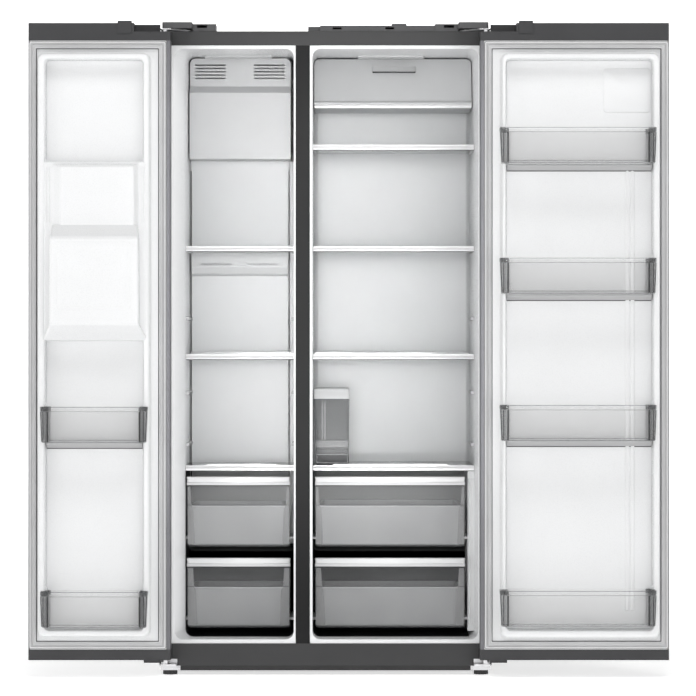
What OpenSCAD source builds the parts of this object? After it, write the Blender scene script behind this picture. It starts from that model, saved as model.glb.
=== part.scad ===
// Side by side refrigerator, drawn with both doors open at 180 degrees.
// Working frame: X = 0 at the cabinet's middle, Y = 0 at the cabinet's front face with
// +Y to the rear, Z = 0 at the floor. placed() then puts the origin on the floor under
// the middle of the whole outline. All lengths are in millimetres.

/* [Cabinet] */
// Cabinet width
cab_w = 910; // [860:1:960]
// Height of the cabinet's top panel
cab_top = 1764; // [1600:1:1900]
// Cabinet depth from front face to rear panel
cab_d = 575; // [500:1:720]
// Height of the cabinet's underside
cab_bot = 25.5; // [20:0.5:60]
// Width of the side flanges of the front frame
flange_w = 30; // [20:1:50]
// Height of the top rail of the front frame
rail_top_h = 39; // [25:1:60]
// Top of the bottom rail of the front frame
rail_bot_top = 86.6; // [70:0.1:120]
// Steel sheet thickness
sheet_t = 1.2; // [0.6:0.1:2]
// Front frame plate thickness
frame_t = 3; // [1:0.5:6]

/* [Compartments] */
// Left edge of the centre rail
rail_x0 = -81.7; // [-120:0.1:0]
// Right edge of the centre rail
rail_x1 = -43; // [-80:0.1:40]
// Freezer left wall
fz_x0 = -388; // [-420:1:-360]
// Freezer right wall
fz_x1 = -87; // [-120:1:-60]
// Fridge left wall
fr_x0 = -36; // [-60:1:0]
// Fridge right wall
fr_x1 = 412; // [380:1:430]
// Compartment floor height
in_z0 = 97; // [90:1:120]
// Compartment ceiling height
in_z1 = 1716; // [1600:1:1800]
// Depth at which the flared walls end
flare_y = 104; // [60:1:140]
// Compartment rear wall depth
in_y1 = 515; // [450:1:560]
// Front of the step over the machine room
step_y = 352; // [300:1:400]
// Top of the step over the machine room
step_z = 335; // [280:1:360]
// Liner thickness
liner_t = 2.5; // [1.5:0.1:4]

/* [Shelves] */
// Top heights of the freezer shelves
fz_shelf_z = [1178, 879]; // [600:1:1600]
// Top heights of the fridge shelves
fr_shelf_z = [1459, 1178, 879]; // [600:1:1600]
// Height of a shelf's front trim
trim_h = 15.5; // [10:0.5:30]
// Shelf glass thickness
glass_t = 4; // [3:0.5:6]
// Depth of the shelf fronts
shelf_y = 105; // [90:1:140]
// Top height of the drawer covers
cover_z = 575; // [500:1:650]
// Heights of the shelf supports that are free
free_support_z = [978, 772, 628]; // [600:1:1600]

/* [Drawers] */
// Lower edge of the upper drawers
draw_up_z = 347; // [330:1:380]
// Top of the upper drawers' handle bars
draw_up_top = 540; // [500:1:560]
// Lower edge of the lower drawers
draw_lo_z = 123; // [100:1:140]
// Top of the lower drawers' handle bars
draw_lo_top = 315; // [280:1:330]
// Height of a handle bar
bar_h = 24; // [15:1:35]
// Drawer wall thickness
draw_t = 3; // [1.5:0.1:4]
// Drop from the front panel's top to the top of the drawer's sides and back
side_drop = 57; // [0:1:60]
// Freezer drawer left and right edges
fz_draw_x = [-384.5, -98]; // [-400:0.5:0]
// Fridge drawer left and right edges
fr_draw_x = [-30, 386]; // [-60:0.5:420]

/* [Doors] */
// Freezer door width
fz_door_w = 387; // [300:1:450]
// Fridge door width
fr_door_w = 514; // [400:1:600]
// Door thickness
door_t = 60; // [45:1:90]
// Underside of the doors
door_z0 = 47; // [40:1:70]
// Top of the doors
door_z1 = 1780; // [1600:1:1900]
// Height of the top end cap
cap_top_h = 48; // [20:1:70]
// Height of the bottom end cap
cap_bot_h = 29; // [15:1:60]
// Gap between a closed door and the cabinet's front
door_gap = 8; // [5:0.5:15]
// Hinge pin distance from the door's hinge edge
pin_u = 17; // [12:1:30]
// Hinge pin distance from the door's outer face
pin_v = 26; // [15:1:40]
// Hinge pin radius
pin_r = 6; // [4:0.5:8]
// Height of the raised ring around the door liner
dyke_h = 35; // [20:1:60]

/* [Door bins] */
// Height of a door bin
bin_h = 97; // [60:1:140]
// Lower edges of the freezer door bins
fz_bin_z = [640, 141]; // [100:1:1600]
// Lower edges of the fridge door bins
fr_bin_z = [1394, 1042, 645, 145]; // [100:1:1600]
// Width of a bin's end piece
bin_end_w = 26; // [15:1:40]
// Bin wall thickness
bin_t = 2.4; // [1.5:0.1:4]
// Left and right edges of the freezer door bins, from the hinge edge
fz_bin_u = [58, 349]; // [40:1:370]
// Left and right edges of the fridge door bins, from the hinge edge
fr_bin_u = [50, 473]; // [40:1:500]

/* [Hidden] */
half_w = cab_w / 2;
eps = 0.3;
arc_n = 6;
hinge_x = half_w - pin_u;
hinge_y = -door_gap - door_t + pin_v;
door_x = hinge_x - pin_u;
door_y = hinge_y + pin_v;
fz_door_x1 = -door_x - fz_door_w;
fr_door_x1 = door_x + fr_door_w;
bin_front = 160;
fz_bin_front = 150;
front_reach = door_y - bin_front;
origin_x = (fz_door_x1 + fr_door_x1) / 2;
origin_y = (front_reach + cab_d) / 2;
open_x0 = -half_w + flange_w;
open_x1 = half_w - flange_w;
open_z1 = cab_top - rail_top_h;
fz_back_y = 385;
machine_y = 392;
machine_z = 288;
liner_v = door_t - liner_t;
// raised ring on a door liner: outer and inner edge at the hinge side, then at the far side
fz_ring = [54, 73, 339, 360];
fr_ring = [56, 69.6, 468, 487];
// front window of the freezer door: left, right, bottom, top
disp = [98, 306, 975, 1330];

// ---------- helpers ----------

function unit(v) = v / norm(v);
function turn(a) = a > 180 ? a - 360 : (a < -180 ? a + 360 : a);
function fillet(a, b, c, r) =
  let (p = unit(a - b), q = unit(c - b), half = acos(p * q) / 2)
  let (m = b + unit(p + q) * r / sin(half), s = b + p * r / tan(half))
  let (e = b + q * r / tan(half), a0 = atan2(s[1] - m[1], s[0] - m[0]))
  let (da = turn(atan2(e[1] - m[1], e[0] - m[0]) - a0))
  [for (i = [0 : arc_n]) m + r * [cos(a0 + da * i / arc_n), sin(a0 + da * i / arc_n)]];
function rounded(p, r) = let (n = len(p)) [
  for (i = [0 : n - 1])
    each (r[i] > 0 ? fillet(p[(i + n - 1) % n], p[i], p[(i + 1) % n], r[i]) : [p[i]])
];

module placed() {
  translate([-origin_x, -origin_y, 0]) children();
}
module box(x0, x1, y0, y1, z0, z1) {
  translate([x0, y0, z0]) cube([x1 - x0, y1 - y0, z1 - z0]);
}
// 2D drawn in X, Z and given a thickness in Y
module slab_y(y0, y1) {
  translate([0, y1, 0]) rotate([90, 0, 0]) linear_extrude(y1 - y0) children();
}
// 2D drawn in Y, Z and given a thickness in X
module slab_x(x0, x1) {
  translate([x0, 0, 0]) rotate([90, 0, 90]) linear_extrude(x1 - x0) children();
}
// 2D drawn in X, Y and given a thickness in Z
module slab_z(z0, z1) {
  translate([0, 0, z0]) linear_extrude(z1 - z0) children();
}
module rect(x0, x1, y0, y1) {
  translate([x0, y0]) square([x1 - x0, y1 - y0]);
}
module rrect(x0, x1, y0, y1, r) {
  rect(x0 + r, x1 - r, y0, y1);
  rect(x0, x1, y0 + r, y1 - r);
  for (x = [x0 + r, x1 - r], y = [y0 + r, y1 - r]) translate([x, y]) circle(r);
}
// freezer side door, drawn from its hinge edge (u), outer face (v) and floor (z)
module on_freezer_door() {
  placed() translate([-door_x, door_y, 0]) rotate([0, 0, 180]) children();
}
module on_fridge_door() {
  placed() translate([door_x, door_y, 0]) mirror([0, 1, 0]) children();
}
module both_sides() {
  children();
  mirror([1, 0, 0]) children();
}

// ---------- cabinet shell ----------

module cabinet_wrap() {
  color([0.30, 0.30, 0.31]) placed() difference() {
    box(-half_w, half_w, frame_t, cab_d - 1.5, cab_bot, cab_top);
    box(-half_w + sheet_t, half_w - sheet_t, 0, cab_d, 0, cab_top - sheet_t);
  }
}

module back_panel() {
  color([0.45, 0.45, 0.46]) placed() difference() {
    box(-half_w, half_w, cab_d - 1.2, cab_d, machine_z + 12, cab_top);
    for (x = [-300, 0, 300]) slab_y(cab_d - 0.6, cab_d + 1)
      rrect(x - 90, x + 90, 420, 1650, 20);
  }
}

module base_pan() {
  color([0.25, 0.25, 0.26]) placed() {
    difference() {
      union() {
        box(-452, 452, 15.2, cab_d - 1.8, cab_bot - 3, cab_bot - 0.1);
        for (x = [-413, -388, 385, 410]) box(x, x + 3, 528, 552, 4, cab_bot - 2);
        for (s = [-1, 1]) translate([s * 399 - 14, 540, 11])
          rotate([0, 90, 0]) cylinder(r = 4, h = 28);
      }
      for (s = [-1, 1]) translate([s * 427, 34, 0]) cylinder(r = 5.06, h = 40);
    }
  }
}

module front_frame() {
  color([0.28, 0.28, 0.29]) placed() slab_y(0, frame_t) difference() {
    rect(-half_w, half_w, cab_bot, cab_top);
    rect(open_x0, open_x1, rail_bot_top, open_z1);
  }
}

module centre_rail() {
  color([0.26, 0.26, 0.27]) placed() slab_z(rail_bot_top + 0.05, open_z1 - 0.05)
    polygon(rounded([[rail_x0, frame_t], [rail_x0, 0], [rail_x1, 0], [rail_x1, frame_t]],
      [0, 1, 1, 0]));
}

module plinth() {
  color([0.05, 0.05, 0.05]) placed() {
    box(-405, 405, 12, 15, 11.5, cab_bot - 0.1);
    box(-405, 405, 14.9, 22, cab_bot - 6, cab_bot - 3.05);
  }
}

// ---------- insulation and liners ----------

module side_foam(wall, flare) {
  slab_z(cab_bot + 0.6, cab_top - sheet_t - 0.4)
    polygon([[half_w - 1.6, frame_t + 1], [flare, frame_t + 1], [wall, flare_y],
      [wall, cab_d - 2.5], [half_w - 1.6, cab_d - 2.5]]);
}

module cabinet_foam() {
  l = fz_x0 - liner_t - eps;
  r = fr_x1 + liner_t + eps;
  m0 = fz_x1 + liner_t + eps;
  m1 = fr_x0 - liner_t - eps;
  floor_z = in_z0 - liner_t - eps;
  roof_z = in_z1 + liner_t + eps;
  low_z = step_z - liner_t - eps;
  top_z = cab_top - sheet_t - 0.4;
  color([0.93, 0.88, 0.70]) placed() {
    mirror([1, 0, 0]) side_foam(-l, -open_x0 + liner_t + 0.7);
    side_foam(r, open_x1 + liner_t + 0.7);
    slab_x(l + eps, r - eps) polygon([[frame_t + 1, open_z1 + liner_t + 0.6],
      [flare_y, roof_z], [cab_d - 2.5, roof_z], [cab_d - 2.5, top_z], [frame_t + 1, top_z]]);
    slab_x(l + eps, r - eps) polygon([[frame_t + 1, cab_bot + 0.6],
      [step_y + 2, cab_bot + 0.6], [step_y + 2, floor_z], [flare_y, floor_z],
      [frame_t + 1, rail_bot_top - liner_t - 0.6]]);
    slab_z(floor_z + eps, roof_z - eps) polygon([[rail_x0 + liner_t + 0.6, frame_t + 1],
      [rail_x1 - liner_t - 0.6, frame_t + 1], [m1, flare_y], [m0, flare_y]]);
    box(m0, m1, flare_y + eps, step_y + 2, floor_z + eps, low_z);
    box(m0, m1, flare_y + eps, in_y1 + 2, low_z + eps, roof_z - eps);
    slab_x(l + eps, r - eps) polygon([[step_y + 3, cab_bot + 0.6], [machine_y, cab_bot + 0.6],
      [machine_y, low_z], [step_y + 13, low_z], [step_y + 3, low_z - 10]]);
    box(l + eps, r - eps, machine_y + eps, cab_d - 2.5, machine_z, low_z);
    box(l + eps, r - eps, in_y1 + 3, cab_d - 2.5, low_z + eps, roof_z - eps);
  }
}

// inside space of one compartment, grown by g all round
module tub(x0, x1, f0, f1, g, y0) {
  intersection() {
    slab_z(40, 1760) polygon([[f0 - g, y0], [f1 + g, y0], [x1 + g, flare_y],
      [x0 - g, flare_y]]);
    slab_x(-450, 450) polygon([[y0, rail_bot_top - g], [flare_y, in_z0 - g],
      [flare_y, in_z1 + g], [y0, open_z1 + g]]);
  }
  difference() {
    intersection() {
      slab_z(40, 1760) polygon(rounded([[x0 - g, flare_y], [x1 + g, flare_y],
        [x1 + g, in_y1 + g], [x0 - g, in_y1 + g]], [0, 0, 12, 12]));
      slab_y(flare_y, in_y1 + g) rrect(x0 - g, x1 + g, in_z0 - g, in_z1 + g, 14);
      slab_x(-450, 450) polygon(rounded([[flare_y, in_z0 - g], [in_y1 + g, in_z0 - g],
        [in_y1 + g, in_z1 + g], [flare_y, in_z1 + g]], [0, 0, 14, 0]));
    }
    slab_x(-450, 450) polygon(rounded([[step_y + g, 20], [in_y1 + 30, 20],
      [in_y1 + 30, step_z - g], [step_y + g, step_z - g]], [0, 0, 0, 12]));
  }
}

module liner(x0, x1, f0, f1) {
  color([0.95, 0.95, 0.95]) placed() difference() {
    tub(x0, x1, f0, f1, liner_t, frame_t + 0.05);
    tub(x0, x1, f0, f1, 0, frame_t);
  }
}
module freezer_liner() {
  liner(fz_x0, fz_x1, open_x0, rail_x0);
}
module fridge_liner() {
  liner(fr_x0, fr_x1, rail_x1, open_x1);
}

// ---------- machine room ----------

// rear grille with the collar that the mains cord comes out through
module machine_cover() {
  z1 = machine_z + 11;
  color([0.30, 0.30, 0.31]) placed() difference() {
    union() {
      box(-half_w + 2, half_w - 2, cab_d - 1.2, cab_d, cab_bot + 1, z1);
      translate([0, cab_d, 80]) rotate([90, 0, 0]) cylinder(r = 10, h = 9);
    }
    for (x = [-350 : 50 : 350], z = [60 : 18 : 240]) if (abs(x) > 60)
      slab_y(cab_d - 3, cab_d + 1) rrect(x - 18, x + 18, z, z + 7, 3);
    translate([0, cab_d + 1, 80]) rotate([90, 0, 0]) cylinder(r = 4.5, h = 12);
  }
}

module compressor() {
  color([0.08, 0.08, 0.09]) placed() translate([-230, 480, 0]) {
    translate([0, 0, 62]) cylinder(r = 62, h = 88);
    translate([0, 0, 150]) intersection() {
      sphere(r = 62);
      translate([-70, -70, -1]) cube([140, 140, 46]);
    }
    translate([0, 0, 52]) cylinder(r = 50, h = 12);
    translate([-95, -55, 44]) cube([190, 110, 4]);
    for (x = [-80, 80], y = [-42, 42]) translate([x, y, cab_bot]) cylinder(r = 10, h = 20);
    translate([-40, -30, 46]) cube([80, 60, 8]);
    translate([55, -22, 80]) cube([26, 44, 52]);
    translate([-66, 0, 120]) rotate([0, -90, 0]) cylinder(r = 4, h = 30);
  }
}

module condenser() {
  color([0.12, 0.12, 0.13]) placed() translate([150, 480, 0]) {
    for (i = [0 : 15]) translate([i * 12, -50, 40]) cube([1.6, 100, 150]);
    for (y = [-30, 0, 30], z = [60, 90, 120, 150, 175]) translate([-8, y, z])
      rotate([0, 90, 0]) cylinder(r = 4, h = 200);
    difference() {
      translate([-62, -64, cab_bot]) cube([4, 128, 200]);
      translate([-70, 0, 118]) rotate([0, 90, 0]) cylinder(r = 59, h = 20);
    }
    translate([-62, -62, cab_bot]) cube([54, 3, 60]);
    translate([-62, 59, cab_bot]) cube([54, 3, 60]);
    translate([-12, -62, cab_bot]) cube([4, 124, 16]);
    translate([-12, -50, 40]) cube([14, 100, 4]);
    for (s = [-1, 1]) translate([-12, s * 30 - 3, 38]) cube([5, 6, 80]);
    translate([-14, -14, 104]) cube([8, 28, 28]);
    translate([-12, -33, 106]) cube([5, 66, 8]);
    translate([-34, 0, 118]) rotate([0, 90, 0]) cylinder(r = 3, h = 24);
  }
}

module condenser_fan() {
  color([0.85, 0.85, 0.85]) placed() translate([150 - 46, 480, 118]) rotate([0, 90, 0]) {
    difference() {
      union() {
        cylinder(r = 14, h = 16);
        for (a = [0 : 90 : 270]) rotate([0, 0, a]) translate([10, 0, 8])
          rotate([32, 0, 0]) translate([0, -15, -1]) cube([41, 30, 2]);
      }
      translate([0, 0, 6]) cylinder(r = 3.06, h = 20);
    }
  }
}

module drain_pan() {
  color([0.15, 0.15, 0.16]) placed() difference() {
    slab_z(195.1, 229) rrect(-330, -110, 405, 560, 12);
    slab_z(198.1, 240) rrect(-327, -113, 408, 557, 9);
  }
}

module evaporator() {
  color([0.75, 0.75, 0.77]) placed() {
    for (i = [0 : 22]) box(-370 + i * 11.8, -369 + i * 11.8, 420, 478, 640, 1000);
    for (y = [434, 464], z = [665 : 45 : 980]) translate([-378, y, z])
      rotate([0, 90, 0]) cylinder(r = 4, h = 276);
    for (x = [-380, -102]) box(x, x + 2.5, 416, 482, 630, 1010);
  }
}

// ---------- compartment fittings ----------

// fan cover in the top of the freezer: vent plate, slope and forward box
module freezer_top_cover() {
  x0 = fz_x0 + 4;
  x1 = -100;
  color([0.86, 0.86, 0.87]) placed() difference() {
    intersection() {
      slab_x(x0, x1) polygon([[fz_back_y, 1428], [268, 1428], [268, 1614],
        [300, 1634], [300, 1713], [fz_back_y, 1713]]);
      slab_y(200, 400) polygon(rounded([[x0, 1400], [x1, 1400], [x1, 1713], [x0, 1713]],
        [0, 0, 16, 16]));
    }
    slab_x(x0 + 2.5, x1 - 2.5) polygon([[fz_back_y + 1, 1430.5], [270.5, 1430.5],
      [270.5, 1613], [302.5, 1633], [302.5, 1698], [fz_back_y + 1, 1698]]);
    for (i = [0 : 4]) for (x = [-370, -204])
      slab_y(290, 310) rrect(x, x + 87, 1655 + i * 9.3, 1659 + i * 9.3, 1.9);
    slab_y(260, 269.2) difference() {
      rrect(x0 + 14, x1 - 14, 1440, 1600, 8);
      rrect(x0 + 16, x1 - 16, 1442, 1598, 6);
    }
  }
}

// rear panel of the freezer with the curved air duct band across it
module freezer_back_cover() {
  x0 = fz_x0 + 5;
  x1 = -108;
  color([0.87, 0.87, 0.88]) placed() {
    fan_motor();
    difference() {
      union() {
        box(x0, x1, fz_back_y, fz_back_y + 3, step_z + 4, 1427);
        slab_x(x0, x1) polygon(rounded([[fz_back_y + 1, 1100], [372, 1106], [366, 1125],
          [366, 1168], [fz_back_y + 1, 1168]], [0, 8, 20, 2, 0]));
        box(x0 - 3, x1 + 3, fz_back_y + 3, fz_back_y + 6, 1400, 1706);
      }
      for (x = [-356, -225]) slab_y(360, 380) rrect(x, x + 89, 1131, 1137, 2.9);
      box(x0 + 3, x1 - 3, 369, fz_back_y + 0.5, 1126, 1165);
      for (i = [-1, 1]) translate([-245 + i * 115, 390, 1480]) rotate([90, 0, 0])
        cylinder(r = 3, h = 10);
      translate([-242, 400, 1520]) rotate([90, 0, 0]) cylinder(r = 52, h = 20);
    }
  }
}
// motor, its three arms across the fan opening and its shaft
module fan_motor() {
  translate([-242, fz_back_y + 5.9, 1520]) rotate([90, 0, 0]) {
    cylinder(r = 17, h = 10);
    for (a = [90, 210, 330]) rotate([0, 0, a]) translate([10, -4, 0]) cube([44, 8, 3]);
    cylinder(r = 3, h = 34);
  }
}

module evaporator_fan() {
  color([0.80, 0.80, 0.82]) placed() translate([-242, 372, 1520]) rotate([90, 0, 0])
    difference() {
      union() {
        cylinder(r = 15, h = 18);
        for (a = [0 : 72 : 288]) rotate([0, 0, a]) translate([10, 0, 9])
          rotate([30, 0, 0]) translate([0, -13, -1]) cube([33, 26, 2]);
      }
      translate([0, 0, -1]) cylinder(r = 3.06, h = 17);
    }
}

// air distributor in the top of the fridge, one moulding with its flat duct panel
module fridge_duct_cover() {
  x0 = fr_x0 + 2.5;
  x1 = fr_x1 - 2.5;
  color([0.90, 0.90, 0.91]) placed() {
    difference() {
      union() {
        intersection() {
          slab_x(x0, x1) polygon(rounded([[in_y1 - 15, 1571], [250, 1571], [250, 1586],
            [264, 1590], [318, 1713], [in_y1 - 15, 1713]], [0, 3, 3, 2, 4, 0]));
          slab_y(200, in_y1) polygon(rounded([[x0, 1500], [x1, 1500], [x1, 1713], [x0, 1713]],
            [0, 0, 15, 15]));
        }
        box(x0 + 8, x1 - 8, in_y1 - 8, in_y1 - 0.5, cover_z + 20, 1573);
        box(x0 + 20, x1 - 20, in_y1 - 16, in_y1 - 4, 1571, 1690);
        slab_x(378, 389) polygon([[289.6, 1650], [304.5, 1684], [308, 1684], [293, 1650]]);
      }
      slab_x(x0 + 2.5, x1 - 2.5) polygon([[in_y1 - 18, 1574], [266, 1588], [314, 1696],
        [in_y1 - 18, 1696]]);
      slab_y(240, 330) rrect(129, 254, 1674, 1691, 4);
      for (i = [0 : 5]) slab_z(1560, 1580) rrect(20 + i * 60, 62 + i * 60, 300, 308, 3);
      box(317, 318.2, in_y1 - 9, in_y1 - 7.2, cover_z + 15, 1560);
    }
    box(125, 258, 318, 321, 1668, 1697);
  }
}

module lamp_lenses() {
  color([0.97, 0.98, 1.0]) placed() {
    slab_z(in_z1 - 4.5, in_z1 - 0.05) rrect(-341, -152, 224, 292, 8);
    slab_z(in_z1 - 4.5, in_z1 - 0.05) rrect(89, 275, 224, 304, 8);
  }
}

// ribs that carry the shelves, pressed into both walls of both compartments
module support(x, z) {
  slab_y(shelf_y + 26, 362) polygon(rounded([[x - 4.4, z - 8], [x + 4.4, z - 8],
    [x + 4.4, z], [x - 4.4, z]], [2, 2, 2, 2]));
}
module shelf_supports() {
  color([0.88, 0.88, 0.88]) placed() {
    for (x = [fz_x0 + 4.45, fz_x1 - 4.45]) {
      for (z = fz_shelf_z) support(x, z - 2.7 - glass_t);
      for (z = free_support_z) support(x, z + 4);
    }
    for (x = [fr_x0 + 4.45, fr_x1 - 4.45]) {
      for (z = fr_shelf_z) support(x, z - 2.7 - glass_t);
      for (z = free_support_z) if (x > 0) support(x, z + 4);
    }
  }
}

// drawer slides on the walls and the ribbed filler beside the fridge drawers
module runner(x0, x1, z, y1) {
  box(x0, x1, shelf_y + 22, y1, z - 7, z);
}
module drawer_runners() {
  color([0.86, 0.86, 0.87]) placed() {
    for (z = [draw_up_z + 26, draw_lo_z + 26]) {
      y1 = z > 200 ? 340 : 330;
      runner(fz_x0 + 0.05, fz_draw_x[0] + 8, z, y1);
      runner(fz_draw_x[1] - 6, fz_x1 - 0.05, z, y1);
      runner(fr_x0 + 0.05, fr_draw_x[0] + 8, z, y1);
    }
    difference() {
      union() {
        box(fr_draw_x[1] + 7, fr_x1 - 0.05, shelf_y + 8, 345, in_z0 + 15, cover_z - 20);
        for (z = [draw_up_z + 26, draw_lo_z + 26])
          box(fr_draw_x[1] - 8, fr_draw_x[1] + 9, shelf_y + 22, 330, z - 7, z);
      }
      for (i = [0 : 2]) box(fr_draw_x[1] + 10 + i * 5, fr_draw_x[1] + 12 + i * 5,
        shelf_y, shelf_y + 10, in_z0 + 30, cover_z - 40);
    }
  }
}

module drawer_cover(x0, x1, r0, r1, y1) {
  color([0.95, 0.95, 0.95]) placed() {
    difference() {
      slab_y(shelf_y - 2, shelf_y + 14) polygon(rounded([[x0, cover_z - 18], [x1, cover_z - 18],
        [x1, cover_z - 4], [r1, cover_z - 4], [r1 - 6, cover_z], [r0 + 6, cover_z],
        [r0, cover_z - 4], [x0, cover_z - 4]], [2, 2, 2, 1, 1, 1, 1, 2]));
      box(x0 + 6, x1 - 6, shelf_y + 4, shelf_y + 20, cover_z - 30, cover_z - 8.2);
    }
    box(x0 + 1, x1 - 1, shelf_y + 14.1, y1, cover_z - 8.2, cover_z - 4.2);
    for (x = [x0 + 0.5, x1 - 9]) box(x, x + 8.5, shelf_y + 20, y1, cover_z - 20,
      cover_z - 8.3);
  }
}
module freezer_drawer_cover() {
  drawer_cover(fz_x0 + 1, fz_x1 - 1, -333, -137, fz_back_y - 1);
}
module fridge_drawer_cover() {
  drawer_cover(fr_x0 + 1, fr_x1 - 1, 17, 340, in_y1 - 9);
}

// ---------- cabinet top ----------

module control_box() {
  z = cab_top + 0.05;
  color([0.20, 0.20, 0.21]) placed() {
    difference() {
      union() {
        box(-15, 300, 6, 96, z, cab_top + 16);
        box(182, 222, 10, 90, z, cab_top + 21.5);
        box(-48, -15, 20, 60, z, cab_top + 14);
      }
      box(-12, 297, 9, 93, cab_top - 1, cab_top + 13.5);
      for (x = [20, 164]) box(x, x + 24, 5, 12, cab_top + 6, cab_top + 11);
    }
    box(10, 280, 15, 85, cab_top + 3, cab_top + 4.6);
  }
}

module one_top_bracket() {
  pin_z = door_z1 - 44;
  slab_z(cab_top + 0.05, cab_top + 3) polygon(rounded([[-hinge_x - 12, hinge_y - 14],
    [-hinge_x + 16, hinge_y - 14], [-368, 8], [-368, 74], [-hinge_x - 12, 74]],
    [10, 10, 8, 4, 4]));
  translate([-hinge_x, hinge_y, pin_z]) cylinder(r = pin_r, h = cab_top + 1 - pin_z);
  for (x = [-432, -386], y = [26, 56]) translate([x, y, cab_top + 2])
    cylinder(r = 6, h = 4.6);
}
module top_hinge_brackets() {
  color([0.72, 0.72, 0.73]) placed() both_sides() one_top_bracket();
}

// cover over the upper hinge, with the door switch slot in its side box
module one_hinge_cover() {
  z0 = cab_top + 3.1;
  difference() {
    union() {
      slab_z(z0, cab_top + 20) polygon(rounded([[-445, hinge_y - 18], [-363, hinge_y - 18],
        [-363, 80], [-445, 80]], [10, 10, 3, 3]));
      box(-364, -300, 3, 80, cab_top + 0.1, cab_top + 20);
    }
    slab_z(z0 - 1, cab_top + 17.5) polygon([[-442.5, hinge_y - 14], [-365.5, hinge_y - 14],
      [-365.5, 77.5], [-442.5, 77.5]]);
    box(-361, -302.5, 5.5, 77.5, cab_top - 1, cab_top + 17.5);
    box(-352, -325, 1, 7, cab_top + 9, cab_top + 17);
    slab_z(cab_top, cab_top + 8) rect(-366, -355, 20, 70);
  }
}
module hinge_covers() {
  color([0.24, 0.24, 0.25]) placed() both_sides() one_hinge_cover();
}

module one_bottom_bracket() {
  z = cab_bot + 3;
  box(-450, -406, hinge_y - 16, -0.3, z, z + 6);
  box(-450, -406, -3.3, -0.3, z, z + 16);
  translate([-hinge_x, hinge_y, z + 5]) cylinder(r = 9.5, h = 11.5);
  translate([-hinge_x, hinge_y, z + 15]) cylinder(r = pin_r, h = 25);
  for (x = [-449, -403]) translate([x, 10.5, 17.5]) rotate([90, 0, 0])
    cylinder(r = 3.4, h = 4);
  box(-453, -398, 9.9, 11.9, 12.5, cab_bot - 0.1);
  box(-448, -407, -0.4, 11, cab_bot - 3, cab_bot - 0.1);
  box(-448, -407, -3.3, -0.2, cab_bot - 3, z + 1);
}
module bottom_hinge_brackets() {
  color([0.72, 0.72, 0.73]) placed() both_sides() one_bottom_bracket();
}

// ---------- feet and rollers ----------

module foot() {
  color([0.07, 0.07, 0.08]) {
    difference() {
      cylinder(r = 20, h = 12);
      for (a = [0 : 30 : 330]) rotate([0, 0, a]) translate([21.5, 0, -1])
        cylinder(r = 3, h = 14);
    }
    translate([0, 0, 11]) cylinder(r = 12, h = 10);
    translate([0, 0, 20]) cylinder(r = 5, h = 6);
  }
}
module front_foot_left() {
  placed() translate([-427, 34, 0]) foot();
}
module front_foot_right() {
  placed() translate([427, 34, 0]) foot();
}
module roller(x) {
  color([0.10, 0.10, 0.11]) placed() translate([x - 10.5, 540, 11]) rotate([0, 90, 0])
    difference() {
      cylinder(r = 11, h = 21);
      translate([0, 0, -1]) cylinder(r = 4.06, h = 23);
    }
}
module rear_roller_left() {
  roller(-399);
}
module rear_roller_right() {
  roller(399);
}

// ---------- shelves ----------

module shelf(x0, x1, z, y1) {
  color([0.93, 0.95, 0.95]) placed() {
    difference() {
      slab_x(x0, x1) polygon(rounded([[shelf_y, z - trim_h], [shelf_y + 14, z - trim_h + 3],
        [shelf_y + 14, z], [shelf_y, z]], [2, 1, 2, 3]));
      box(x0 - 1, x1 + 1, shelf_y + 4, shelf_y + 20, z - 2.5 - glass_t, z - 2.5);
    }
    box(x0 + 1, x1 - 1, shelf_y + 4.1, y1, z - 2.4 - glass_t, z - 2.6);
    box(x0 + 1, x1 - 1, y1 + 0.1, y1 + 6, z - 2.4 - glass_t, z + 6);
  }
}
module freezer_shelf_upper() {
  shelf(fz_x0 + 1.5, fz_x1 - 1.5, fz_shelf_z[0], 350);
}
module freezer_shelf_lower() {
  shelf(fz_x0 + 1.5, fz_x1 - 1.5, fz_shelf_z[1], 372);
}
module fridge_shelf_top() {
  shelf(fr_x0 + 1.5, fr_x1 - 1.5, fr_shelf_z[0], 470);
}
module fridge_shelf_middle() {
  shelf(fr_x0 + 1.5, fr_x1 - 1.5, fr_shelf_z[1], 490);
}
module fridge_shelf_bottom() {
  shelf(fr_x0 + 1.5, fr_x1 - 1.5, fr_shelf_z[2], 490);
}

// ---------- drawers ----------

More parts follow.
